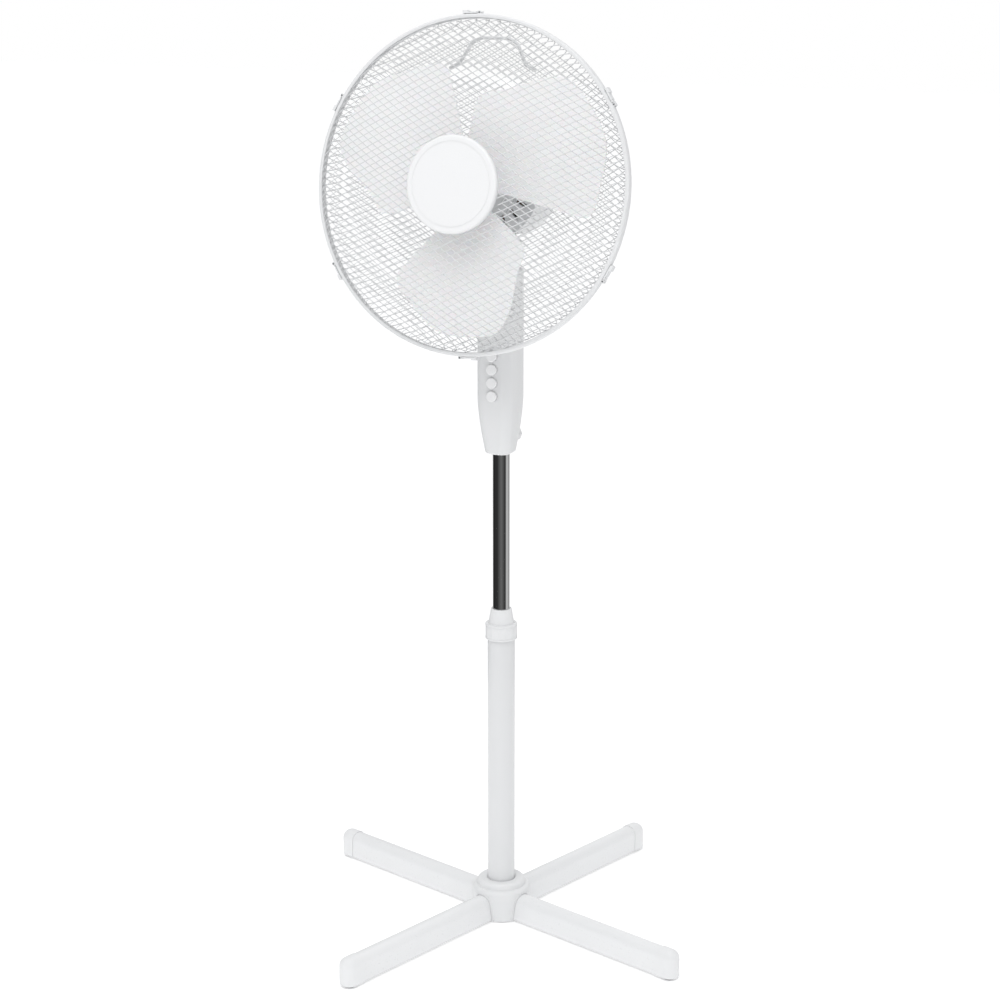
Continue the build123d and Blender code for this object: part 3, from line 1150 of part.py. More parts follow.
def carry_handle():
    """A bent wire loop behind the top of the rear mesh."""
    grip = GUARD_RADIUS - HANDLE_GRIP_BELOW_RIM
    foot = grip - HANDLE_REACH
    stand = behind_rear_mesh(0, foot)[2]
    half = [
        behind_rear_mesh(HANDLE_FOOT_HALF, foot),
        behind_rear_mesh(HANDLE_SIDE_HALF, foot + HANDLE_SHOULDER_DROP),
        (HANDLE_SHOULDER_HALF, grip - HANDLE_SHOULDER_DROP, stand + 1),
        (HANDLE_GRIP_HALF, grip, stand),
    ]
    corners = half + [(-x, y, z) for x, y, z in reversed(half)]
    path = FilletPolyline(*corners, radius=HANDLE_BEND_RADIUS)
    start = Vector(*corners[1]) - Vector(*corners[0])
    disc = Plane(Vector(*corners[0]), z_dir=start) * Circle(HANDLE_WIRE_RADIUS)
    return FAN * sweep(disc, path)


def cover_screws():
    """Screws that hold the rear cover to the motor frame."""
    screws = []
    for x, y in cover_screw_places():
        head = rod(COVER_SCREW_HEAD_RADIUS, COVER_SCREW_SEAT - 2, COVER_SCREW_SEAT, x, y)
        screws.append(FAN * (head + rod(COVER_SCREW_RADIUS, COVER_SCREW_SEAT, -1, x, y)))
    return screws


# ---- Export --------------------------------------------------------------------------------
def base_nodes():
    middle = LEG_BOTTOM + LEG_HEIGHT / 2
    nodes = {
        "cross_leg_lower": cross_leg(LOWER_LEG_ANGLE, middle - SEAT_GAP, LEG_TOP + 5),
        "cross_leg_upper": cross_leg(UPPER_LEG_ANGLE, 0, middle + SEAT_GAP),
        "base_cover": base_cover(),
        "pole_flange": pole_flange(),
        "base_screws": base_screws(),
        "outer_tube": outer_tube(),
        "tube_collet": tube_collet(),
        "lock_collar": lock_collar(),
        "inner_tube": inner_tube(),
        "tube_guide": tube_guide(),
    }
    leg_angles = [LOWER_LEG_ANGLE, UPPER_LEG_ANGLE, LOWER_LEG_ANGLE + 180, UPPER_LEG_ANGLE + 180]
    for number, angle in enumerate(leg_angles, 1):
        nodes[f"leg_end_cap_{number}"] = leg_end_cap(angle)
    return nodes | {"foot_pads": [foot_pad(angle) for angle in leg_angles]}


def box_nodes():
    shell, filled = box_shell(), box_form(BOX_WALL / 2)
    nodes = {
        "box_front_shell": box_front_shell(shell, filled),
        "box_rear_shell": box_rear_shell(shell, filled),
        "box_screws": box_screws(),
        "tube_socket": tube_socket(),
        "tilt_bracket": tilt_bracket(),
        "switch_block": switch_block(),
        "cord_gland": cord_gland(),
        "clamp_knob": clamp_knob(),
        "tilt_bolt": tilt_bolt(),
        "tilt_nut": tilt_nut(),
    }
    for number in range(BUTTON_COUNT):
        nodes[f"speed_button_{number + 1}"] = button(number)
    return nodes


def motor_nodes():
    return {
        "neck_casting": neck_casting(),
        "osc_pin": osc_pin(),
        "osc_link": osc_link(),
        "osc_crank": osc_crank(),
        "motor_frame": motor_frame(),
        "motor_front_cover": motor_front_cover(),
        "motor_rear_cover": motor_rear_cover(),
        "stator_core": stator_core(),
        "stator_coils": stator_coils(),
        "shaft_bearings": shaft_bearings(),
        "gearbox": gearbox(),
        "cover_screws": cover_screws(),
        "osc_knob": osc_knob(),
        "guard_nut": guard_nut(),
        "motor_shaft": motor_shaft(),
        "rotor_core": rotor_core(),
        "fan_blade": fan_blade(),
        "spinner": spinner(),
    }


def guard_nodes():
    nodes = {
        "front_guard_frame": front_guard_frame(),
        "rear_guard_frame": rear_guard_frame(),
        "centre_badge": centre_badge(),
        "guard_trim_ring": guard_trim_ring(),
        "carry_handle": carry_handle(),
        "front_guard_mesh": guard_mesh(front_dome, 1),
        "rear_guard_mesh": guard_mesh(rear_dome, -1),
    }
    for number in range(CLIP_COUNT):
        nodes[f"guard_clip_{number + 1}"] = guard_clip(number)
    return nodes


os.makedirs("parts", exist_ok=True)
for name, shape in (base_nodes() | box_nodes() | motor_nodes() | guard_nodes()).items():
    solids = shape if isinstance(shape, list) else [shape]
    export_step(Compound(children=list(Compound(solids).solids())), f"parts/{name}.step")
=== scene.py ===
"""Looks of a 40 cm pedestal fan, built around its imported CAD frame."""

import json
import logging
from dataclasses import dataclass, field
from enum import Enum
from math import cos, pi, radians, sin
from typing import Iterable, Optional, Sequence

import bmesh
import bpy
from mathutils import Matrix, Vector


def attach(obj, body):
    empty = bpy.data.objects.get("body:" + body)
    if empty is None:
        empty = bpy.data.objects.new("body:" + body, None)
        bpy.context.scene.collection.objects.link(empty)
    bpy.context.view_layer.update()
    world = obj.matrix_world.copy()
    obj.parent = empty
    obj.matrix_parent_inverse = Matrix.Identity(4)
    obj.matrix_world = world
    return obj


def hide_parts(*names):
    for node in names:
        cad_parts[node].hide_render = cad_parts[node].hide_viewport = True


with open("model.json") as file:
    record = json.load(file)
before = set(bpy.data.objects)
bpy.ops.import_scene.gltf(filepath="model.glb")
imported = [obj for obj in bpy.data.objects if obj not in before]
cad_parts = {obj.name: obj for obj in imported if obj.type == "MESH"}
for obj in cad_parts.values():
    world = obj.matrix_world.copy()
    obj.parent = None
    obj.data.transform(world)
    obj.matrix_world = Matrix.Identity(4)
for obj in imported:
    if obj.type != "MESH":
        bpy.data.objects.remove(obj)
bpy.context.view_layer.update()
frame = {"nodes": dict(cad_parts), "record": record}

log = logging.getLogger("pedestal_fan")
MM = 0.001
MERGE_DISTANCE = 1e-7


# ---- Frame of the fan head -----------------------------------------------------------------
@dataclass(frozen=True)
class HeadFrame:
    """Where the fan's own axis lies: x to the viewer's right, y up, z forward, in millimetres."""

    pivot_height: float = 937.5
    axis_rise: float = 85.0
    tilt: float = 9.0

    def matrix(self) -> Matrix:
        """Returns: the transform from the fan's millimetres to the row frame's metres."""
        to_pivot = Matrix.Translation((0, 0, self.pivot_height * MM))
        lean = Matrix.Rotation(radians(-self.tilt), 4, "X")
        rise = Matrix.Translation((0, 0, self.axis_rise * MM))
        turn = Matrix.Rotation(radians(90), 4, "X")
        return to_pivot @ lean @ rise @ turn @ Matrix.Scale(MM, 4)


HEAD = HeadFrame().matrix()


# ---- Node helpers --------------------------------------------------------------------------
class NodeTree:
    """Adds nodes to one tree and links them as they are added."""

    MIX_FIRST, MIX_SECOND, MIX_RESULT = 6, 7, 2

    def __init__(self, tree: bpy.types.NodeTree) -> None:
        """Args: tree: the shader or geometry tree to fill."""
        self.tree = tree

    def add(self, kind: str, inputs: Optional[dict] = None, **settings: object) -> bpy.types.Node:
        """Adds a node.

        Args:
            kind: the node's type name.
            inputs: socket name or index to a value or an output socket.
            settings: attributes of the node.

        Returns: the new node.
        """
        node = self.tree.nodes.new(kind)
        for name, value in settings.items():
            setattr(node, name, value)
        for key, value in (inputs or {}).items():
            if isinstance(value, bpy.types.NodeSocket):
                self.tree.links.new(value, node.inputs[key])
            else:
                node.inputs[key].default_value = value
        return node

    def math(self, operation: str, *values: object) -> bpy.types.NodeSocket:
        """Returns: the output of a math node on the given numbers or sockets."""
        node = self.add("ShaderNodeMath", dict(enumerate(values)), operation=operation)
        return node.outputs[0]

    def ramp(self, value: bpy.types.NodeSocket, low: float, high: float, start: float,
             end: float) -> bpy.types.NodeSocket:
        """Returns: value taken from low..high to start..end, held at the ends."""
        inputs = {"Value": value, "From Min": low, "From Max": high, "To Min": start, "To Max": end}
        return self.add("ShaderNodeMapRange", inputs, clamp=True).outputs["Result"]

    def mix(self, share: bpy.types.NodeSocket, first: object, second: object) -> bpy.types.NodeSocket:
        """Returns: a colour that goes from the first to the second as share goes from 0 to 1."""
        inputs = {"Factor": share, self.MIX_FIRST: first, self.MIX_SECOND: second}
        return self.add("ShaderNodeMix", inputs, data_type="RGBA").outputs[self.MIX_RESULT]


class SurfaceEffects:
    """Shader groups shared by the finishes. A scale is about the number of marks in a metre."""

    TONE_SCALE = 9.0
    DUST_PATCH_SCALE = 38.0
    DUST_SPECK_SCALE = 620.0

    def __init__(self) -> None:
        """Builds the groups once."""
        self.grain = self._grain()
        self.dust = self._dust()
        self.streaks = self._streaks()

    @staticmethod
    def _group(name: str, inputs: dict[str, float], outputs: Sequence[str]) -> NodeTree:
        """Makes an empty group whose sockets are all numbers.

        Args:
            name: the group's name.
            inputs: label and default of each input.
            outputs: label of each output.

        Returns: the group's tree.
        """
        tree = bpy.data.node_groups.new(name, "ShaderNodeTree")
        for label, value in inputs.items():
            socket = tree.interface.new_socket(label, in_out="INPUT", socket_type="NodeSocketFloat")
            socket.default_value = value
        for label in outputs:
            tree.interface.new_socket(label, in_out="OUTPUT", socket_type="NodeSocketFloat")
        return NodeTree(tree)

    def _grain(self) -> bpy.types.NodeTree:
        """Returns: moulded or sprayed grain, as a height and a slow change of tone."""
        nodes = self._group("surface_grain", {"Scale": 900.0, "Depth": 1.0}, ("Height", "Tone"))
        given = nodes.add("NodeGroupInput")
        place = nodes.add("ShaderNodeTexCoord").outputs["Object"]
        fine = nodes.add("ShaderNodeTexNoise", {
            "Vector": place, "Scale": given.outputs["Scale"], "Detail": 2.0,
        })
        broad = nodes.add("ShaderNodeTexNoise", {"Vector": place, "Scale": self.TONE_SCALE, "Detail": 3.0})
        height = nodes.math("MULTIPLY", fine.outputs["Fac"], given.outputs["Depth"])
        nodes.add("NodeGroupOutput", {"Height": height, "Tone": broad.outputs["Fac"]})
        return nodes.tree

    def _dust(self) -> bpy.types.NodeTree:
        """Returns: a mask of fine dust on faces that look up."""
        nodes = self._group("settled_dust", {"Amount": 0.3}, ("Mask",))
        given = nodes.add("NodeGroupInput")
        place = nodes.add("ShaderNodeTexCoord").outputs["Object"]
        normal = nodes.add("ShaderNodeNewGeometry").outputs["Normal"]
        upward = nodes.add("ShaderNodeSeparateXYZ", {0: normal}).outputs["Z"]
        facing = nodes.ramp(upward, low=0.35, high=1.0, start=0.0, end=1.0)
        patch = nodes.add("ShaderNodeTexNoise", {
            "Vector": place, "Scale": self.DUST_PATCH_SCALE, "Detail": 6.0,
        })
        speck = nodes.add("ShaderNodeTexNoise", {
            "Vector": place, "Scale": self.DUST_SPECK_SCALE, "Detail": 2.0,
        })
        cloud = nodes.ramp(patch.outputs["Fac"], low=0.35, high=0.7, start=0.3, end=1.0)
        dots = nodes.ramp(speck.outputs["Fac"], low=0.45, high=0.68, start=0.4, end=1.0)
        cover = nodes.math("MULTIPLY", nodes.math("MULTIPLY", facing, cloud), dots)
        nodes.add("NodeGroupOutput", {"Mask": nodes.math("MULTIPLY", cover, given.outputs["Amount"])})
        return nodes.tree

    def _streaks(self) -> bpy.types.NodeTree:
        """Returns: fine marks drawn along one axis, as on drawn or brushed metal."""
        nodes = self._group("drawn_streaks", {"Across": 900.0, "Along": 12.0}, ("Mask",))
        given = nodes.add("NodeGroupInput")
        place = nodes.add("ShaderNodeTexCoord").outputs["Object"]
        apart = nodes.add("ShaderNodeSeparateXYZ", {0: place})
        stretched = nodes.add("ShaderNodeCombineXYZ", {
            "X": nodes.math("MULTIPLY", apart.outputs["X"], given.outputs["Across"]),
            "Y": nodes.math("MULTIPLY", apart.outputs["Y"], given.outputs["Across"]),
            "Z": nodes.math("MULTIPLY", apart.outputs["Z"], given.outputs["Along"]),
        })
        lines = nodes.add("ShaderNodeTexNoise", {
            "Vector": stretched.outputs[0], "Scale": 1.0, "Detail": 3.0,
        })
        nodes.add("NodeGroupOutput", {"Mask": lines.outputs["Fac"]})
        return nodes.tree


class Texture(Enum):
    """Which of the shared effects makes a finish's fine surface."""

    MOULDED = "grain"
    DRAWN = "streaks"


Colour = tuple[float, float, float]


@dataclass(frozen=True)
class Finish:
    """A surface finish, with its own grain, tone and dust."""

    name: str
    colour: Colour
    shade: Colour
    roughness: float
    rough_spread: float = 0.08
    metallic: float = 0.0
    texture: Texture = Texture.MOULDED
    grain_scale: float = 900.0
    bump: float = 0.05
    dust: float = 0.15
    coat: float = 0.0
    subsurface: float = 0.0

    DUST_COLOUR = (0.62, 0.60, 0.57, 1.0)
    DUST_ROUGHNESS = 0.5
    BUMP_DISTANCE = 0.0004
    COAT_ROUGHNESS = 0.12
    SUBSURFACE_SCALE = 0.003

    def material(self, effects: SurfaceEffects) -> bpy.types.Material:
        """Builds the material.

        Args:
            effects: the shared shader groups.

        Returns: the finished material.
        """
        made = bpy.data.materials.new(self.name)
        made.use_nodes = True
        made.node_tree.nodes.clear()
        nodes = NodeTree(made.node_tree)
        fine = nodes.add("ShaderNodeGroup", node_tree=getattr(effects, self.texture.value))
        if self.texture is Texture.MOULDED:
            fine.inputs["Scale"].default_value = self.grain_scale
            height, tone = fine.outputs["Height"], fine.outputs["Tone"]
        else:
            fine.inputs["Across"].default_value = self.grain_scale
            height, tone = fine.outputs["Mask"], fine.outputs["Mask"]
        share = nodes.ramp(tone, low=0.3, high=0.7, start=0.0, end=1.0)
        colour = nodes.mix(share, (*self.colour, 1.0), (*self.shade, 1.0))
        dust = nodes.add("ShaderNodeGroup", node_tree=effects.dust)
        dust.inputs["Amount"].default_value = self.dust
        dusty = nodes.mix(dust.outputs["Mask"], colour, self.DUST_COLOUR)
        spread = self.rough_spread
        roughness = nodes.ramp(height, low=0.3, high=0.7, start=self.roughness - spread,
                               end=self.roughness + spread)
        added = nodes.math("MULTIPLY", dust.outputs["Mask"], self.DUST_ROUGHNESS)
        rougher = nodes.math("ADD", roughness, added)
        bump = nodes.add("ShaderNodeBump", {
            "Strength": self.bump, "Distance": self.BUMP_DISTANCE, "Height": height,
        })
        shader = nodes.add("ShaderNodeBsdfPrincipled", {
            "Base Color": dusty, "Roughness": rougher, "Metallic": self.metallic,
            "Normal": bump.outputs["Normal"], "Coat Weight": self.coat,
            "Coat Roughness": self.COAT_ROUGHNESS, "Subsurface Weight": self.subsurface,
            "Subsurface Scale": self.SUBSURFACE_SCALE,
        })
        nodes.add("ShaderNodeOutputMaterial", {"Surface": shader.outputs[0]})
        return made


FINISHES: dict[str, Finish] = {
    finish.name: finish
    for finish in (
        Finish("leg_enamel", (0.765, 0.77, 0.775), (0.75, 0.756, 0.762), roughness=0.34,
               grain_scale=420.0, bump=0.08, dust=0.05, coat=0.15),
        Finish("tube_enamel", (0.685, 0.69, 0.695), (0.675, 0.681, 0.687), roughness=0.32,
               rough_spread=0.04, grain_scale=420.0, bump=0.05, dust=0.03, coat=0.15),
        Finish("chrome_tube", (0.75, 0.755, 0.76), (0.72, 0.725, 0.73), roughness=0.055,
               rough_spread=0.02, metallic=1.0, texture=Texture.DRAWN, grain_scale=1500.0, bump=0.01,
               dust=0.02),
        Finish("body_plastic", (0.735, 0.74, 0.745), (0.72, 0.727, 0.732), roughness=0.38,
               grain_scale=1100.0, bump=0.06, dust=0.06),
        Finish("cap_plastic", (0.76, 0.765, 0.77), (0.745, 0.75, 0.755), roughness=0.42,
               grain_scale=1500.0, bump=0.1, dust=0.06),
        Finish("collar_plastic", (0.73, 0.735, 0.74), (0.715, 0.72, 0.725), roughness=0.40,
               grain_scale=1400.0, bump=0.08, dust=0.06),
        Finish("button_plastic", (0.84, 0.84, 0.845), (0.825, 0.83, 0.835), roughness=0.32,
               grain_scale=1600.0, bump=0.05, dust=0.03),
        Finish("blade_plastic", (0.93, 0.933, 0.937), (0.92, 0.924, 0.93), roughness=0.30,
               grain_scale=700.0, bump=0.04, dust=0.02, subsurface=0.12),
        Finish("badge_plastic", (0.79, 0.793, 0.797), (0.78, 0.784, 0.79), roughness=0.32,
               grain_scale=1600.0, bump=0.03, dust=0.0),
        Finish("guard_enamel", (0.70, 0.705, 0.71), (0.67, 0.676, 0.683), roughness=0.36,
               grain_scale=500.0, bump=0.08, dust=0.05),
        Finish("foot_rubber", (0.028, 0.028, 0.03), (0.05, 0.05, 0.05), roughness=0.75,
               grain_scale=1800.0, bump=0.25),
        Finish("zinc_steel", (0.56, 0.57, 0.58), (0.44, 0.45, 0.47), roughness=0.34, rough_spread=0.1,
               metallic=1.0, texture=Texture.DRAWN, grain_scale=1200.0, bump=0.08, dust=0.1),
        Finish("cast_alloy", (0.58, 0.585, 0.59), (0.5, 0.505, 0.51), roughness=0.46, rough_spread=0.1,
               metallic=0.9, grain_scale=900.0, bump=0.3),
        Finish("lamination", (0.20, 0.205, 0.21), (0.12, 0.12, 0.125), roughness=0.5, rough_spread=0.1,
               metallic=0.8, texture=Texture.DRAWN, grain_scale=2400.0, bump=0.3),
        Finish("copper_winding", (0.55, 0.22, 0.08), (0.36, 0.13, 0.05), roughness=0.34,
               rough_spread=0.1, metallic=0.9, texture=Texture.DRAWN, grain_scale=2600.0, bump=0.4),
        Finish("dark_nylon", (0.03, 0.03, 0.033), (0.045, 0.045, 0.05), roughness=0.5,
               grain_scale=1500.0, bump=0.15),
        Finish("socket_nylon", (0.34, 0.345, 0.35), (0.3, 0.305, 0.31), roughness=0.5,
               grain_scale=1300.0, bump=0.15),
    )
}


class Paintshop:
    """Holds one material for each of the record's slots and dresses pieces with them."""

    def __init__(self) -> None:
        """Builds every finish's material."""
        effects = SurfaceEffects()
        self.materials = {slot: finish.material(effects) for slot, finish in FINISHES.items()}

    def dress_frame(self, nodes: dict, record: dict) -> None:
        """Gives each CAD node the finish of its own slot.

        Args:
            nodes: CAD node name to object.
            record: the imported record.
        """
        slots = {part["node"]: part["material_slot"] for part in record["subparts"]}
        for name, piece in nodes.items():
            piece.data.materials.clear()
            piece.data.materials.append(self.materials[slots[name]])
        log.info("dressed %d CAD nodes", len(nodes))

    def __getitem__(self, slot: str) -> bpy.types.Material:
        """Returns: the slot's material."""
        return self.materials[slot]


# ---- Mesh helpers --------------------------------------------------------------------------
Point = tuple[float, float, float]


def new_piece(name: str, points: Iterable[Sequence[float]], faces: Sequence[Sequence[int]],
              place: Matrix, material: bpy.types.Material) -> bpy.types.Object:
    """Makes a mesh object at the origin with its place in its mesh.

    Args:
        name: the piece's name.
        points: corners in the piece's own millimetres.
        faces: corner numbers of each face.
        place: transform to the row frame.
        material: its finish.

    Returns: the new object.
    """
    mesh = bpy.data.meshes.new(name)
    mesh.from_pydata([place @ Vector(point) for point in points], [], faces)
    work = bmesh.new()
    work.from_mesh(mesh)
    bmesh.ops.remove_doubles(work, verts=work.verts, dist=MERGE_DISTANCE)
    bmesh.ops.recalc_face_normals(work, faces=work.faces)
    work.to_mesh(mesh)
    work.free()
    mesh.materials.append(material)
    mesh.polygons.foreach_set("use_smooth", [True] * len(mesh.polygons))
    piece = bpy.data.objects.new(name, mesh)
    bpy.context.scene.collection.objects.link(piece)
    return piece


def finish_piece(piece: bpy.types.Object, body: str, slot: str, *replaced: str) -> None:
    """Rides a piece on its body and hides the CAD nodes that it stands for.

    Args:
        piece: the finished piece.
        body: the CAD body that it moves with.
        slot: the record's material slot; not used.
        replaced: CAD nodes that it stands for.
    """
    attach(piece, body)
    if replaced:
        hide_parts(*replaced)
    log.info("%s rides on %s", piece.name, body)


# ---- Guard meshes --------------------------------------------------------------------------
@dataclass
class DomeShape:
    """Height of a guard mesh along the fan's axis: a steep rim, a cone and a lip at the hub."""

    base: float
    rim_height: float
    rim_power: float
    rim_root: float
    cone_height: float = 0.0
    cone_power: float = 1.0
    lip_height: float = 0.0


@dataclass
class GuardMesh:
    """Two families of straight wires laid over a dome, made by geometry nodes."""

    paintshop: Paintshop
    outer_radius: float = 208.68
    inner_radius: float = 60.0
    lip_radius: float = 76.0
    wire_radius: float = 0.62
    pitch: float = 7.9
    angles: tuple[float, float] = (26.8, -33.2)
    layer_step: float = 1.28
    points_per_wire: int = 64
    wire_sides: int = 6
    wired_share: float = 0.985
    front: DomeShape = field(default_factory=lambda: DomeShape(
        base=112.4, rim_height=47.6, rim_power=3.2, rim_root=0.52, lip_height=5.0))
    rear: DomeShape = field(default_factory=lambda: DomeShape(
        base=107.6, rim_height=-22.0, rim_power=12.0, rim_root=0.5, cone_height=-61.0, cone_power=1.15))

    INPUTS = ("Radius", "Hub", "Pitch", "Wires", "Points", "Offset", "Wire", "Sides", "Base", "Rim Height",
              "Rim Power", "Rim Root", "Cone Height", "Cone Power", "Lip Height", "Lip Radius")
    WHOLE = ("Wires", "Points", "Sides")

    def wire_tree(self) -> bpy.types.NodeTree:
        """Returns: the tree that lays parallel wires over a dome."""
        tree = bpy.data.node_groups.new("dome_wires", "GeometryNodeTree")
        for label in self.INPUTS:
            kind = "NodeSocketInt" if label in self.WHOLE else "NodeSocketFloat"
            tree.interface.new_socket(label, in_out="INPUT", socket_type=kind)
        tree.interface.new_socket("Finish", in_out="INPUT", socket_type="NodeSocketMaterial")
        tree.interface.new_socket("Geometry", in_out="OUTPUT", socket_type="NodeSocketGeometry")
        nodes = NodeTree(tree)
        given = nodes.add("NodeGroupInput").outputs
        span = nodes.math("MULTIPLY", given["Pitch"], nodes.math("SUBTRACT", given["Wires"], 1.0))
        first = nodes.math("ADD", nodes.math("MULTIPLY", span, -0.5), given["Offset"])
        rows = nodes.add("GeometryNodeMeshLine", {
            "Count": given["Wires"],
            "Start Location": nodes.add("ShaderNodeCombineXYZ", {"Y": first}).outputs[0],
            "Offset": nodes.add("ShaderNodeCombineXYZ", {"Y": given["Pitch"]}).outputs[0],
        }).outputs[0]
        step = nodes.math("DIVIDE", 2.0, nodes.math("SUBTRACT", given["Points"], 1.0))
        wire = nodes.add("GeometryNodeMeshLine", {
            "Count": given["Points"],
            "Start Location": (-1.0, 0.0, 0.0),
            "Offset": nodes.add("ShaderNodeCombineXYZ", {"X": step}).outputs[0],
        }).outputs[0]
        laid = nodes.add("GeometryNodeInstanceOnPoints", {"Points": rows, "Instance": wire}).outputs[0]
        lines = nodes.add("GeometryNodeRealizeInstances", {"Geometry": laid}).outputs[0]
        place = nodes.add("ShaderNodeSeparateXYZ", {0: nodes.add("GeometryNodeInputPosition").outputs[0]})
        square = nodes.math("MULTIPLY", place.outputs["Y"], place.outputs["Y"])
        left = nodes.math("SUBTRACT", nodes.math("POWER", given["Radius"], 2.0), square)
        reach = nodes.math("MAXIMUM", left, 0.0)
        spread = nodes.math("SINE", nodes.math("MULTIPLY", place.outputs["X"], pi / 2))
        along = nodes.math("MULTIPLY", spread, nodes.math("SQRT", reach))
        radius = nodes.math("SQRT", nodes.math("ADD", nodes.math("MULTIPLY", along, along), square))
        height = self._dome_height(nodes, given, radius)
        moved = nodes.add("GeometryNodeSetPosition", {
            "Geometry": lines,
            "Position": nodes.add("ShaderNodeCombineXYZ",
                                  {"X": along, "Y": place.outputs["Y"], "Z": height}).outputs[0],
        }).outputs[0]
        again = nodes.add("ShaderNodeSeparateXYZ", {0: nodes.add("GeometryNodeInputPosition").outputs[0]})
        flat = nodes.add("ShaderNodeCombineXYZ",
                         {"X": again.outputs["X"], "Y": again.outputs["Y"]}).outputs[0]
        distance = nodes.add("ShaderNodeVectorMath", {0: flat}, operation="LENGTH").outputs["Value"]
        inside = nodes.add("FunctionNodeCompare", {0: distance, 1: given["Hub"]},
                           data_type="FLOAT", operation="LESS_THAN").outputs[0]
        cut = nodes.add("GeometryNodeDeleteGeometry", {"Geometry": moved, "Selection": inside},
                        domain="POINT").outputs[0]
        curves = nodes.add("GeometryNodeMeshToCurve", {"Mesh": cut}).outputs[0]
        section = nodes.add("GeometryNodeCurvePrimitiveCircle",
                            {"Resolution": given["Sides"], "Radius": given["Wire"]}).outputs[0]
        solid = nodes.add("GeometryNodeCurveToMesh",
                          {"Curve": curves, "Profile Curve": section, "Fill Caps": True}).outputs[0]
        whole = nodes.add("GeometryNodeRealizeInstances", {"Geometry": solid}).outputs[0]
        smooth = nodes.add("GeometryNodeSetShadeSmooth", {"Geometry": whole}).outputs[0]
        dressed = nodes.add("GeometryNodeSetMaterial",
                            {"Geometry": smooth, "Material": given["Finish"]}).outputs[0]
        nodes.add("NodeGroupOutput", {"Geometry": dressed})
        return tree

    @staticmethod
    def _dome_height(nodes: NodeTree, given: bpy.types.NodeOutputs,
                     radius: bpy.types.NodeSocket) -> bpy.types.NodeSocket:
        """Adds the nodes of the rule that DomeShape's values feed.

        Args:
            nodes: the tree to add to.
            given: the tree's inputs.
            radius: distance from the fan's axis.

        Returns: the dome's height at that radius.
        """
        share = nodes.math("MINIMUM", nodes.math("DIVIDE", radius, given["Radius"]), 1.0)
        rim = nodes.math("SUBTRACT", 1.0, nodes.math("POWER", share, given["Rim Power"]))
        rim = nodes.math("POWER", nodes.math("MAXIMUM", rim, 0.0), given["Rim Root"])
        rim = nodes.math("MULTIPLY", rim, given["Rim Height"])
        cone = nodes.math("SUBTRACT", 1.0, nodes.math("POWER", share, given["Cone Power"]))
        cone = nodes.math("MULTIPLY", cone, given["Cone Height"])
        lip = nodes.add("ShaderNodeMapRange", {
            "Value": radius, "From Min": given["Lip Radius"], "From Max": given["Hub"], "To Min": 0.0,
            "To Max": given["Lip Height"],
        }, interpolation_type="SMOOTHSTEP", clamp=True).outputs["Result"]
        return nodes.math("ADD", nodes.math("ADD", given["Base"], rim), nodes.math("ADD", cone, lip))

    def family(self, tree: bpy.types.NodeTree, dome: DomeShape, angle: float, layer: float,
               side: int) -> bpy.types.Mesh:
        """Lays one family of wires and turns it to its angle.

        Args:
            tree: the wire tree.
            dome: the shape that the wires follow.
            angle: turn of the family in the guard's plane, in degrees.
            layer: how far this family lies inside the outer one, in millimetres.
            side: 1 in front of the rim, -1 behind it.

        Returns: the wires as a plain mesh.
        """
        holder = bpy.data.objects.new("wires", bpy.data.meshes.new("wires"))
        bpy.context.scene.collection.objects.link(holder)
        modifier = holder.modifiers.new("wires", "NODES")
        modifier.node_group = tree
        radius = self.outer_radius - layer
        middle_wire = 0 if layer else 1
        count = 2 * int(self.wired_share * radius / self.pitch) + middle_wire
        values = {
            "Radius": radius, "Hub": self.inner_radius, "Pitch": self.pitch, "Wires": count,
            "Points": self.points_per_wire, "Offset": 0.0, "Wire": self.wire_radius,
            "Sides": self.wire_sides, "Base": dome.base - side * layer,
            "Rim Height": dome.rim_height, "Rim Power": dome.rim_power,
            "Rim Root": dome.rim_root, "Cone Height": dome.cone_height, "Cone Power": dome.cone_power,
            "Lip Height": dome.lip_height, "Lip Radius": self.lip_radius,
            "Finish": self.paintshop["guard_enamel"],
        }
        for socket in tree.interface.items_tree:
            if socket.in_out == "INPUT":
                modifier[socket.identifier] = values[socket.name]
        evaluated = holder.evaluated_get(bpy.context.evaluated_depsgraph_get())
        mesh = bpy.data.meshes.new_from_object(evaluated)
        holder.modifiers.clear()
        bpy.data.objects.remove(holder)
        mesh.transform(HEAD @ Matrix.Rotation(radians(angle), 4, "Z"))
        return mesh

    def build(self) -> None:
        """Makes both meshes and stands them in for the CAD wires."""
        tree = self.wire_tree()
        for side, dome, label in ((1, self.front, "front_guard_mesh"), (-1, self.rear, "rear_guard_mesh")):
            joined = bmesh.new()
            for number, angle in enumerate(self.angles):
                joined.from_mesh(self.family(tree, dome, angle, number * self.layer_step, side))
            mesh = bpy.data.meshes.new(f"{label}_wires")
            joined.to_mesh(mesh)
            joined.free()
            mesh.materials.append(self.paintshop["guard_enamel"])
            mesh.polygons.foreach_set("use_smooth", [True] * len(mesh.polygons))
            piece = bpy.data.objects.new(f"{label}_wires", mesh)
            bpy.context.scene.collection.objects.link(piece)
            finish_piece(piece, "head", "guard_enamel", label)


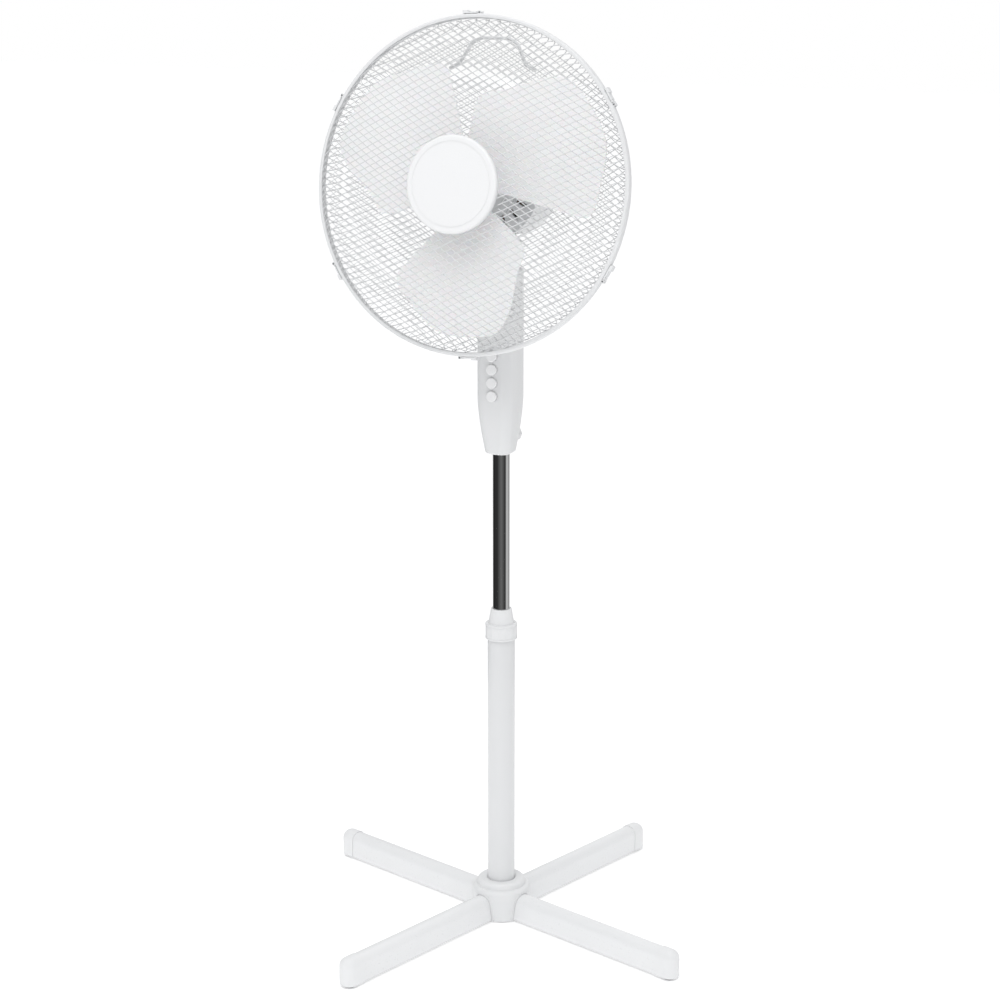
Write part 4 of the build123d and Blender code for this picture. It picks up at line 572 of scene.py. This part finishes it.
# ---- Clip pins -----------------------------------------------------------------------------
@dataclass
class ClipPins:
    """Domed steel heads on both ends of each guard clip's pin, in the fan's millimetres."""

    paintshop: Paintshop
    count: int = 6
    first_angle: float = 93.0
    pin_radius: float = 216.4
    pin_along: float = -10.3
    rim_forward: float = 110.0
    reach: float = 4.55
    head_radius: float = 1.3
    head_height: float = 0.7
    sides: int = 18
    crown_steps: int = 4

    def head_profile(self) -> list[tuple[float, float]]:
        """Returns: (radius, height) corners of one head, from its foot to its crown."""
        turns = [pi / 2 * step / self.crown_steps for step in range(self.crown_steps + 1)]
        return [
            (self.head_radius * cos(turn), self.reach + self.head_height * sin(turn)) for turn in turns
        ]

    def head(self, side: int) -> tuple[list[Point], list[tuple[int, ...]]]:
        """Turns the profile into a closed dome.

        Args:
            side: 1 for the front end of the pin, -1 for its back end.

        Returns: corners and faces.
        """
        rings = self.head_profile()[:-1]
        turns = [2 * pi * step / self.sides for step in range(self.sides)]
        points = [
            (radius * cos(turn), radius * sin(turn), side * height)
            for radius, height in rings for turn in turns
        ]
        points.append((0.0, 0.0, side * (self.reach + self.head_height)))
        crown, faces = len(points) - 1, [tuple(range(self.sides))]
        for ring in range(len(rings) - 1):
            for step in range(self.sides):
                low, after = ring * self.sides + step, ring * self.sides + (step + 1) % self.sides
                faces.append((low, after, after + self.sides, low + self.sides))
        last = (len(rings) - 1) * self.sides
        faces += [(last + step, last + (step + 1) % self.sides, crown) for step in range(self.sides)]
        return points, faces

    def build(self) -> None:
        """Puts the heads on every clip."""
        for number in range(self.count):
            turn = Matrix.Rotation(radians(self.first_angle + 360 / self.count * number), 4, "Z")
            place = HEAD @ turn @ Matrix.Translation((self.pin_radius, self.pin_along, self.rim_forward))
            points, faces = [], []
            for side in (-1, 1):
                more_points, more_faces = self.head(side)
                faces += [tuple(corner + len(points) for corner in face) for face in more_faces]
                points += more_points
            name = f"guard_clip_{number + 1}"
            piece = new_piece(f"{name}_pin_heads", points, faces, place, self.paintshop["zinc_steel"])
            finish_piece(piece, name, "zinc_steel")


# ---- Studio --------------------------------------------------------------------------------
@dataclass
class Studio:
    """Camera, lights, floor and backdrop."""

    camera_azimuth: float = 23.9
    camera_distance: float = 2.96
    camera_height: float = 1.393
    camera_pitch: float = 14.9
    camera_yaw_trim: float = 0.035
    lens: float = 81.65
    sensor_width: float = 36.0
    clip_start: float = 0.05
    clip_end: float = 60.0
    floor_half: float = 14.0
    floor_tone: float = 0.88
    floor_roughness: float = 0.9
    floor_specular: float = 0.1
    floor_glow: float = 0.25
    side_light: float = 0.5
    top_light: float = 1.05
    side_light_height: float = -0.2
    wall_radius: float = 1.0
    wall_height: float = 1.7
    wall_sides: int = 96
    panel_gain: float = 1.33
    key_place: Point = (0.4, -2.45, 3.8)
    key_target: Point = (0.0, 0.0, 0.7)
    key_size: float = 2.6
    key_power: float = 58.0

    WHITE = (1.0, 1.0, 1.0, 1.0)
    DOME_TINT = (0.985, 0.99, 1.0, 1.0)

    # bearing of each panel in degrees to the right of the camera, and its brightness
    PANELS = ((-180, 0.45), (-140, 0.15), (-126, 0.04), (-105, 0.01), (-80, 0.03), (-57, 0.022),
              (-30, 0.07), (0, 0.122), (24, 0.08), (47, 0.027), (60, 0.09), (75, 0.51), (93, 0.42),
              (115, 0.27), (138, 0.42), (165, 0.82), (180, 0.6))

    def camera(self) -> None:
        """Stands the camera to the front right of the fan, looking down at the pole."""
        data = bpy.data.cameras.new("camera")
        data.lens = self.lens
        data.sensor_width = self.sensor_width
        data.clip_start, data.clip_end = self.clip_start, self.clip_end
        camera = bpy.data.objects.new("camera", data)
        turn = radians(self.camera_azimuth)
        away = self.camera_distance
        camera.location = (sin(turn) * away, -cos(turn) * away, self.camera_height)
        yaw = turn + radians(self.camera_yaw_trim)
        camera.rotation_euler = (radians(90 - self.camera_pitch), 0.0, yaw)
        bpy.context.scene.collection.objects.link(camera)
        bpy.context.scene.camera = camera

    def floor(self) -> None:
        """Lays a wide pale floor that glows a little, so that it meets the pale surround."""
        mesh = bpy.data.meshes.new("floor")
        half = self.floor_half
        corners = [(-half, -half, 0), (half, -half, 0), (half, half, 0), (-half, half, 0)]
        mesh.from_pydata(corners, [], [(0, 1, 2, 3)])
        material = bpy.data.materials.new("studio_floor")
        material.use_nodes = True
        shader = material.node_tree.nodes["Principled BSDF"]
        tone = self.floor_tone
        for socket, value in (("Base Color", (tone, tone, tone, 1.0)), ("Roughness", self.floor_roughness),
                              ("Specular IOR Level", self.floor_specular),
                              ("Emission Color", self.WHITE), ("Emission Strength", self.floor_glow)):
            shader.inputs[socket].default_value = value
        mesh.materials.append(material)
        floor = bpy.data.objects.new("floor", mesh)
        bpy.context.scene.collection.objects.link(floor)

    def world(self) -> None:
        """Makes the surround white to the camera and a soft dome to the pieces, brighter from above."""
        world = bpy.data.worlds.new("studio")
        world.use_nodes = True
        world.node_tree.nodes.clear()
        nodes = NodeTree(world.node_tree)
        place = nodes.add("ShaderNodeTexCoord").outputs["Generated"]
        height = nodes.add("ShaderNodeSeparateXYZ", {0: place}).outputs["Z"]
        above = nodes.ramp(height, self.side_light_height, 1.0, self.side_light, self.top_light)
        seen = nodes.add("ShaderNodeLightPath").outputs["Is Camera Ray"]
        dome = nodes.add("ShaderNodeBackground", {"Color": self.DOME_TINT, "Strength": above})
        white = nodes.add("ShaderNodeBackground", {"Color": self.WHITE, "Strength": 1.0})
        both = nodes.add("ShaderNodeMixShader", {0: seen, 1: dome.outputs[0], 2: white.outputs[0]})
        nodes.add("ShaderNodeOutputWorld", {"Surface": both.outputs[0]})
        bpy.context.scene.world = world

    def reflection_wall(self) -> None:
        """Stands a ring of light and dark panels around the fan, seen only in reflections."""
        count, radius = self.wall_sides, self.wall_radius
        turns = [2 * pi * step / count for step in range(count)]
        ring = [(radius * cos(turn), radius * sin(turn)) for turn in turns]
        points = [(x, y, z) for z in (0.0, self.wall_height) for x, y in ring]
        faces = [(n, (n + 1) % count, count + (n + 1) % count, count + n) for n in range(count)]
        mesh = bpy.data.meshes.new("reflection_wall")
        mesh.from_pydata(points, [], faces)
        material = bpy.data.materials.new("reflection_panels")
        material.use_nodes = True
        material.node_tree.nodes.clear()
        nodes = NodeTree(material.node_tree)
        place = nodes.add("ShaderNodeTexCoord").outputs["Object"]
        turn = radians(self.camera_azimuth)
        ahead = nodes.add("ShaderNodeVectorMath", {0: place, 1: (sin(turn), -cos(turn), 0.0)},
                          operation="DOT_PRODUCT").outputs["Value"]
        right = nodes.add("ShaderNodeVectorMath", {0: place, 1: (cos(turn), sin(turn), 0.0)},
                          operation="DOT_PRODUCT").outputs["Value"]
        around = nodes.ramp(nodes.math("ARCTAN2", right, ahead), -pi, pi, 0.0, 1.0)
        panels = nodes.add("ShaderNodeValToRGB", {"Fac": around})
        stops = panels.color_ramp.elements
        ready = len(stops)
        for number, (bearing, level) in enumerate(self.PANELS):
            position = (bearing + 180.0) / 360.0
            stop = stops[number] if number < ready else stops.new(position)
            stop.position, stop.color = position, (level, level, level, 1.0)
        glow = nodes.add("ShaderNodeEmission", {"Color": panels.outputs[0], "Strength": self.panel_gain})
        nodes.add("ShaderNodeOutputMaterial", {"Surface": glow.outputs[0]})
        mesh.materials.append(material)
        wall = bpy.data.objects.new("reflection_wall", mesh)
        wall.visible_camera = wall.visible_diffuse = wall.visible_shadow = wall.visible_transmission = False
        bpy.context.scene.collection.objects.link(wall)

    @staticmethod
    def area_light(name: str, place: Point, target: Point, size: float, power: float) -> None:
        """Adds one soft square light aimed at a point.

        Args:
            name: the light's name.
            place: its middle, in metres.
            target: the point that it faces.
            size: its side, in metres.
            power: its power, in watts.
        """
        data = bpy.data.lights.new(name, "AREA")
        data.size, data.energy = size, power
        light = bpy.data.objects.new(name, data)
        light.location = place
        light.rotation_euler = (Vector(target) - Vector(place)).to_track_quat("-Z", "Y").to_euler()
        light.visible_glossy = False
        bpy.context.scene.collection.objects.link(light)

    def lights(self) -> None:
        """Hangs a large soft key in front of the fan, high and a little to the camera's left."""
        self.area_light("key", self.key_place, self.key_target, self.key_size, self.key_power)

    def build(self) -> None:
        """Sets the whole studio."""
        self.world()
        self.floor()
        self.reflection_wall()
        self.lights()
        settings = bpy.context.scene.view_settings
        settings.view_transform = "Standard"
        settings.look = "None"
        log.info("studio is set")


def main() -> None:
    """Builds every piece in order."""
    logging.basicConfig(level=logging.INFO, format="%(message)s")
    studio = Studio()
    studio.camera()
    paintshop = Paintshop()
    paintshop.dress_frame(frame["nodes"], frame["record"])
    GuardMesh(paintshop).build()
    ClipPins(paintshop).build()
    studio.build()


if __name__ == "__main__":
    main()
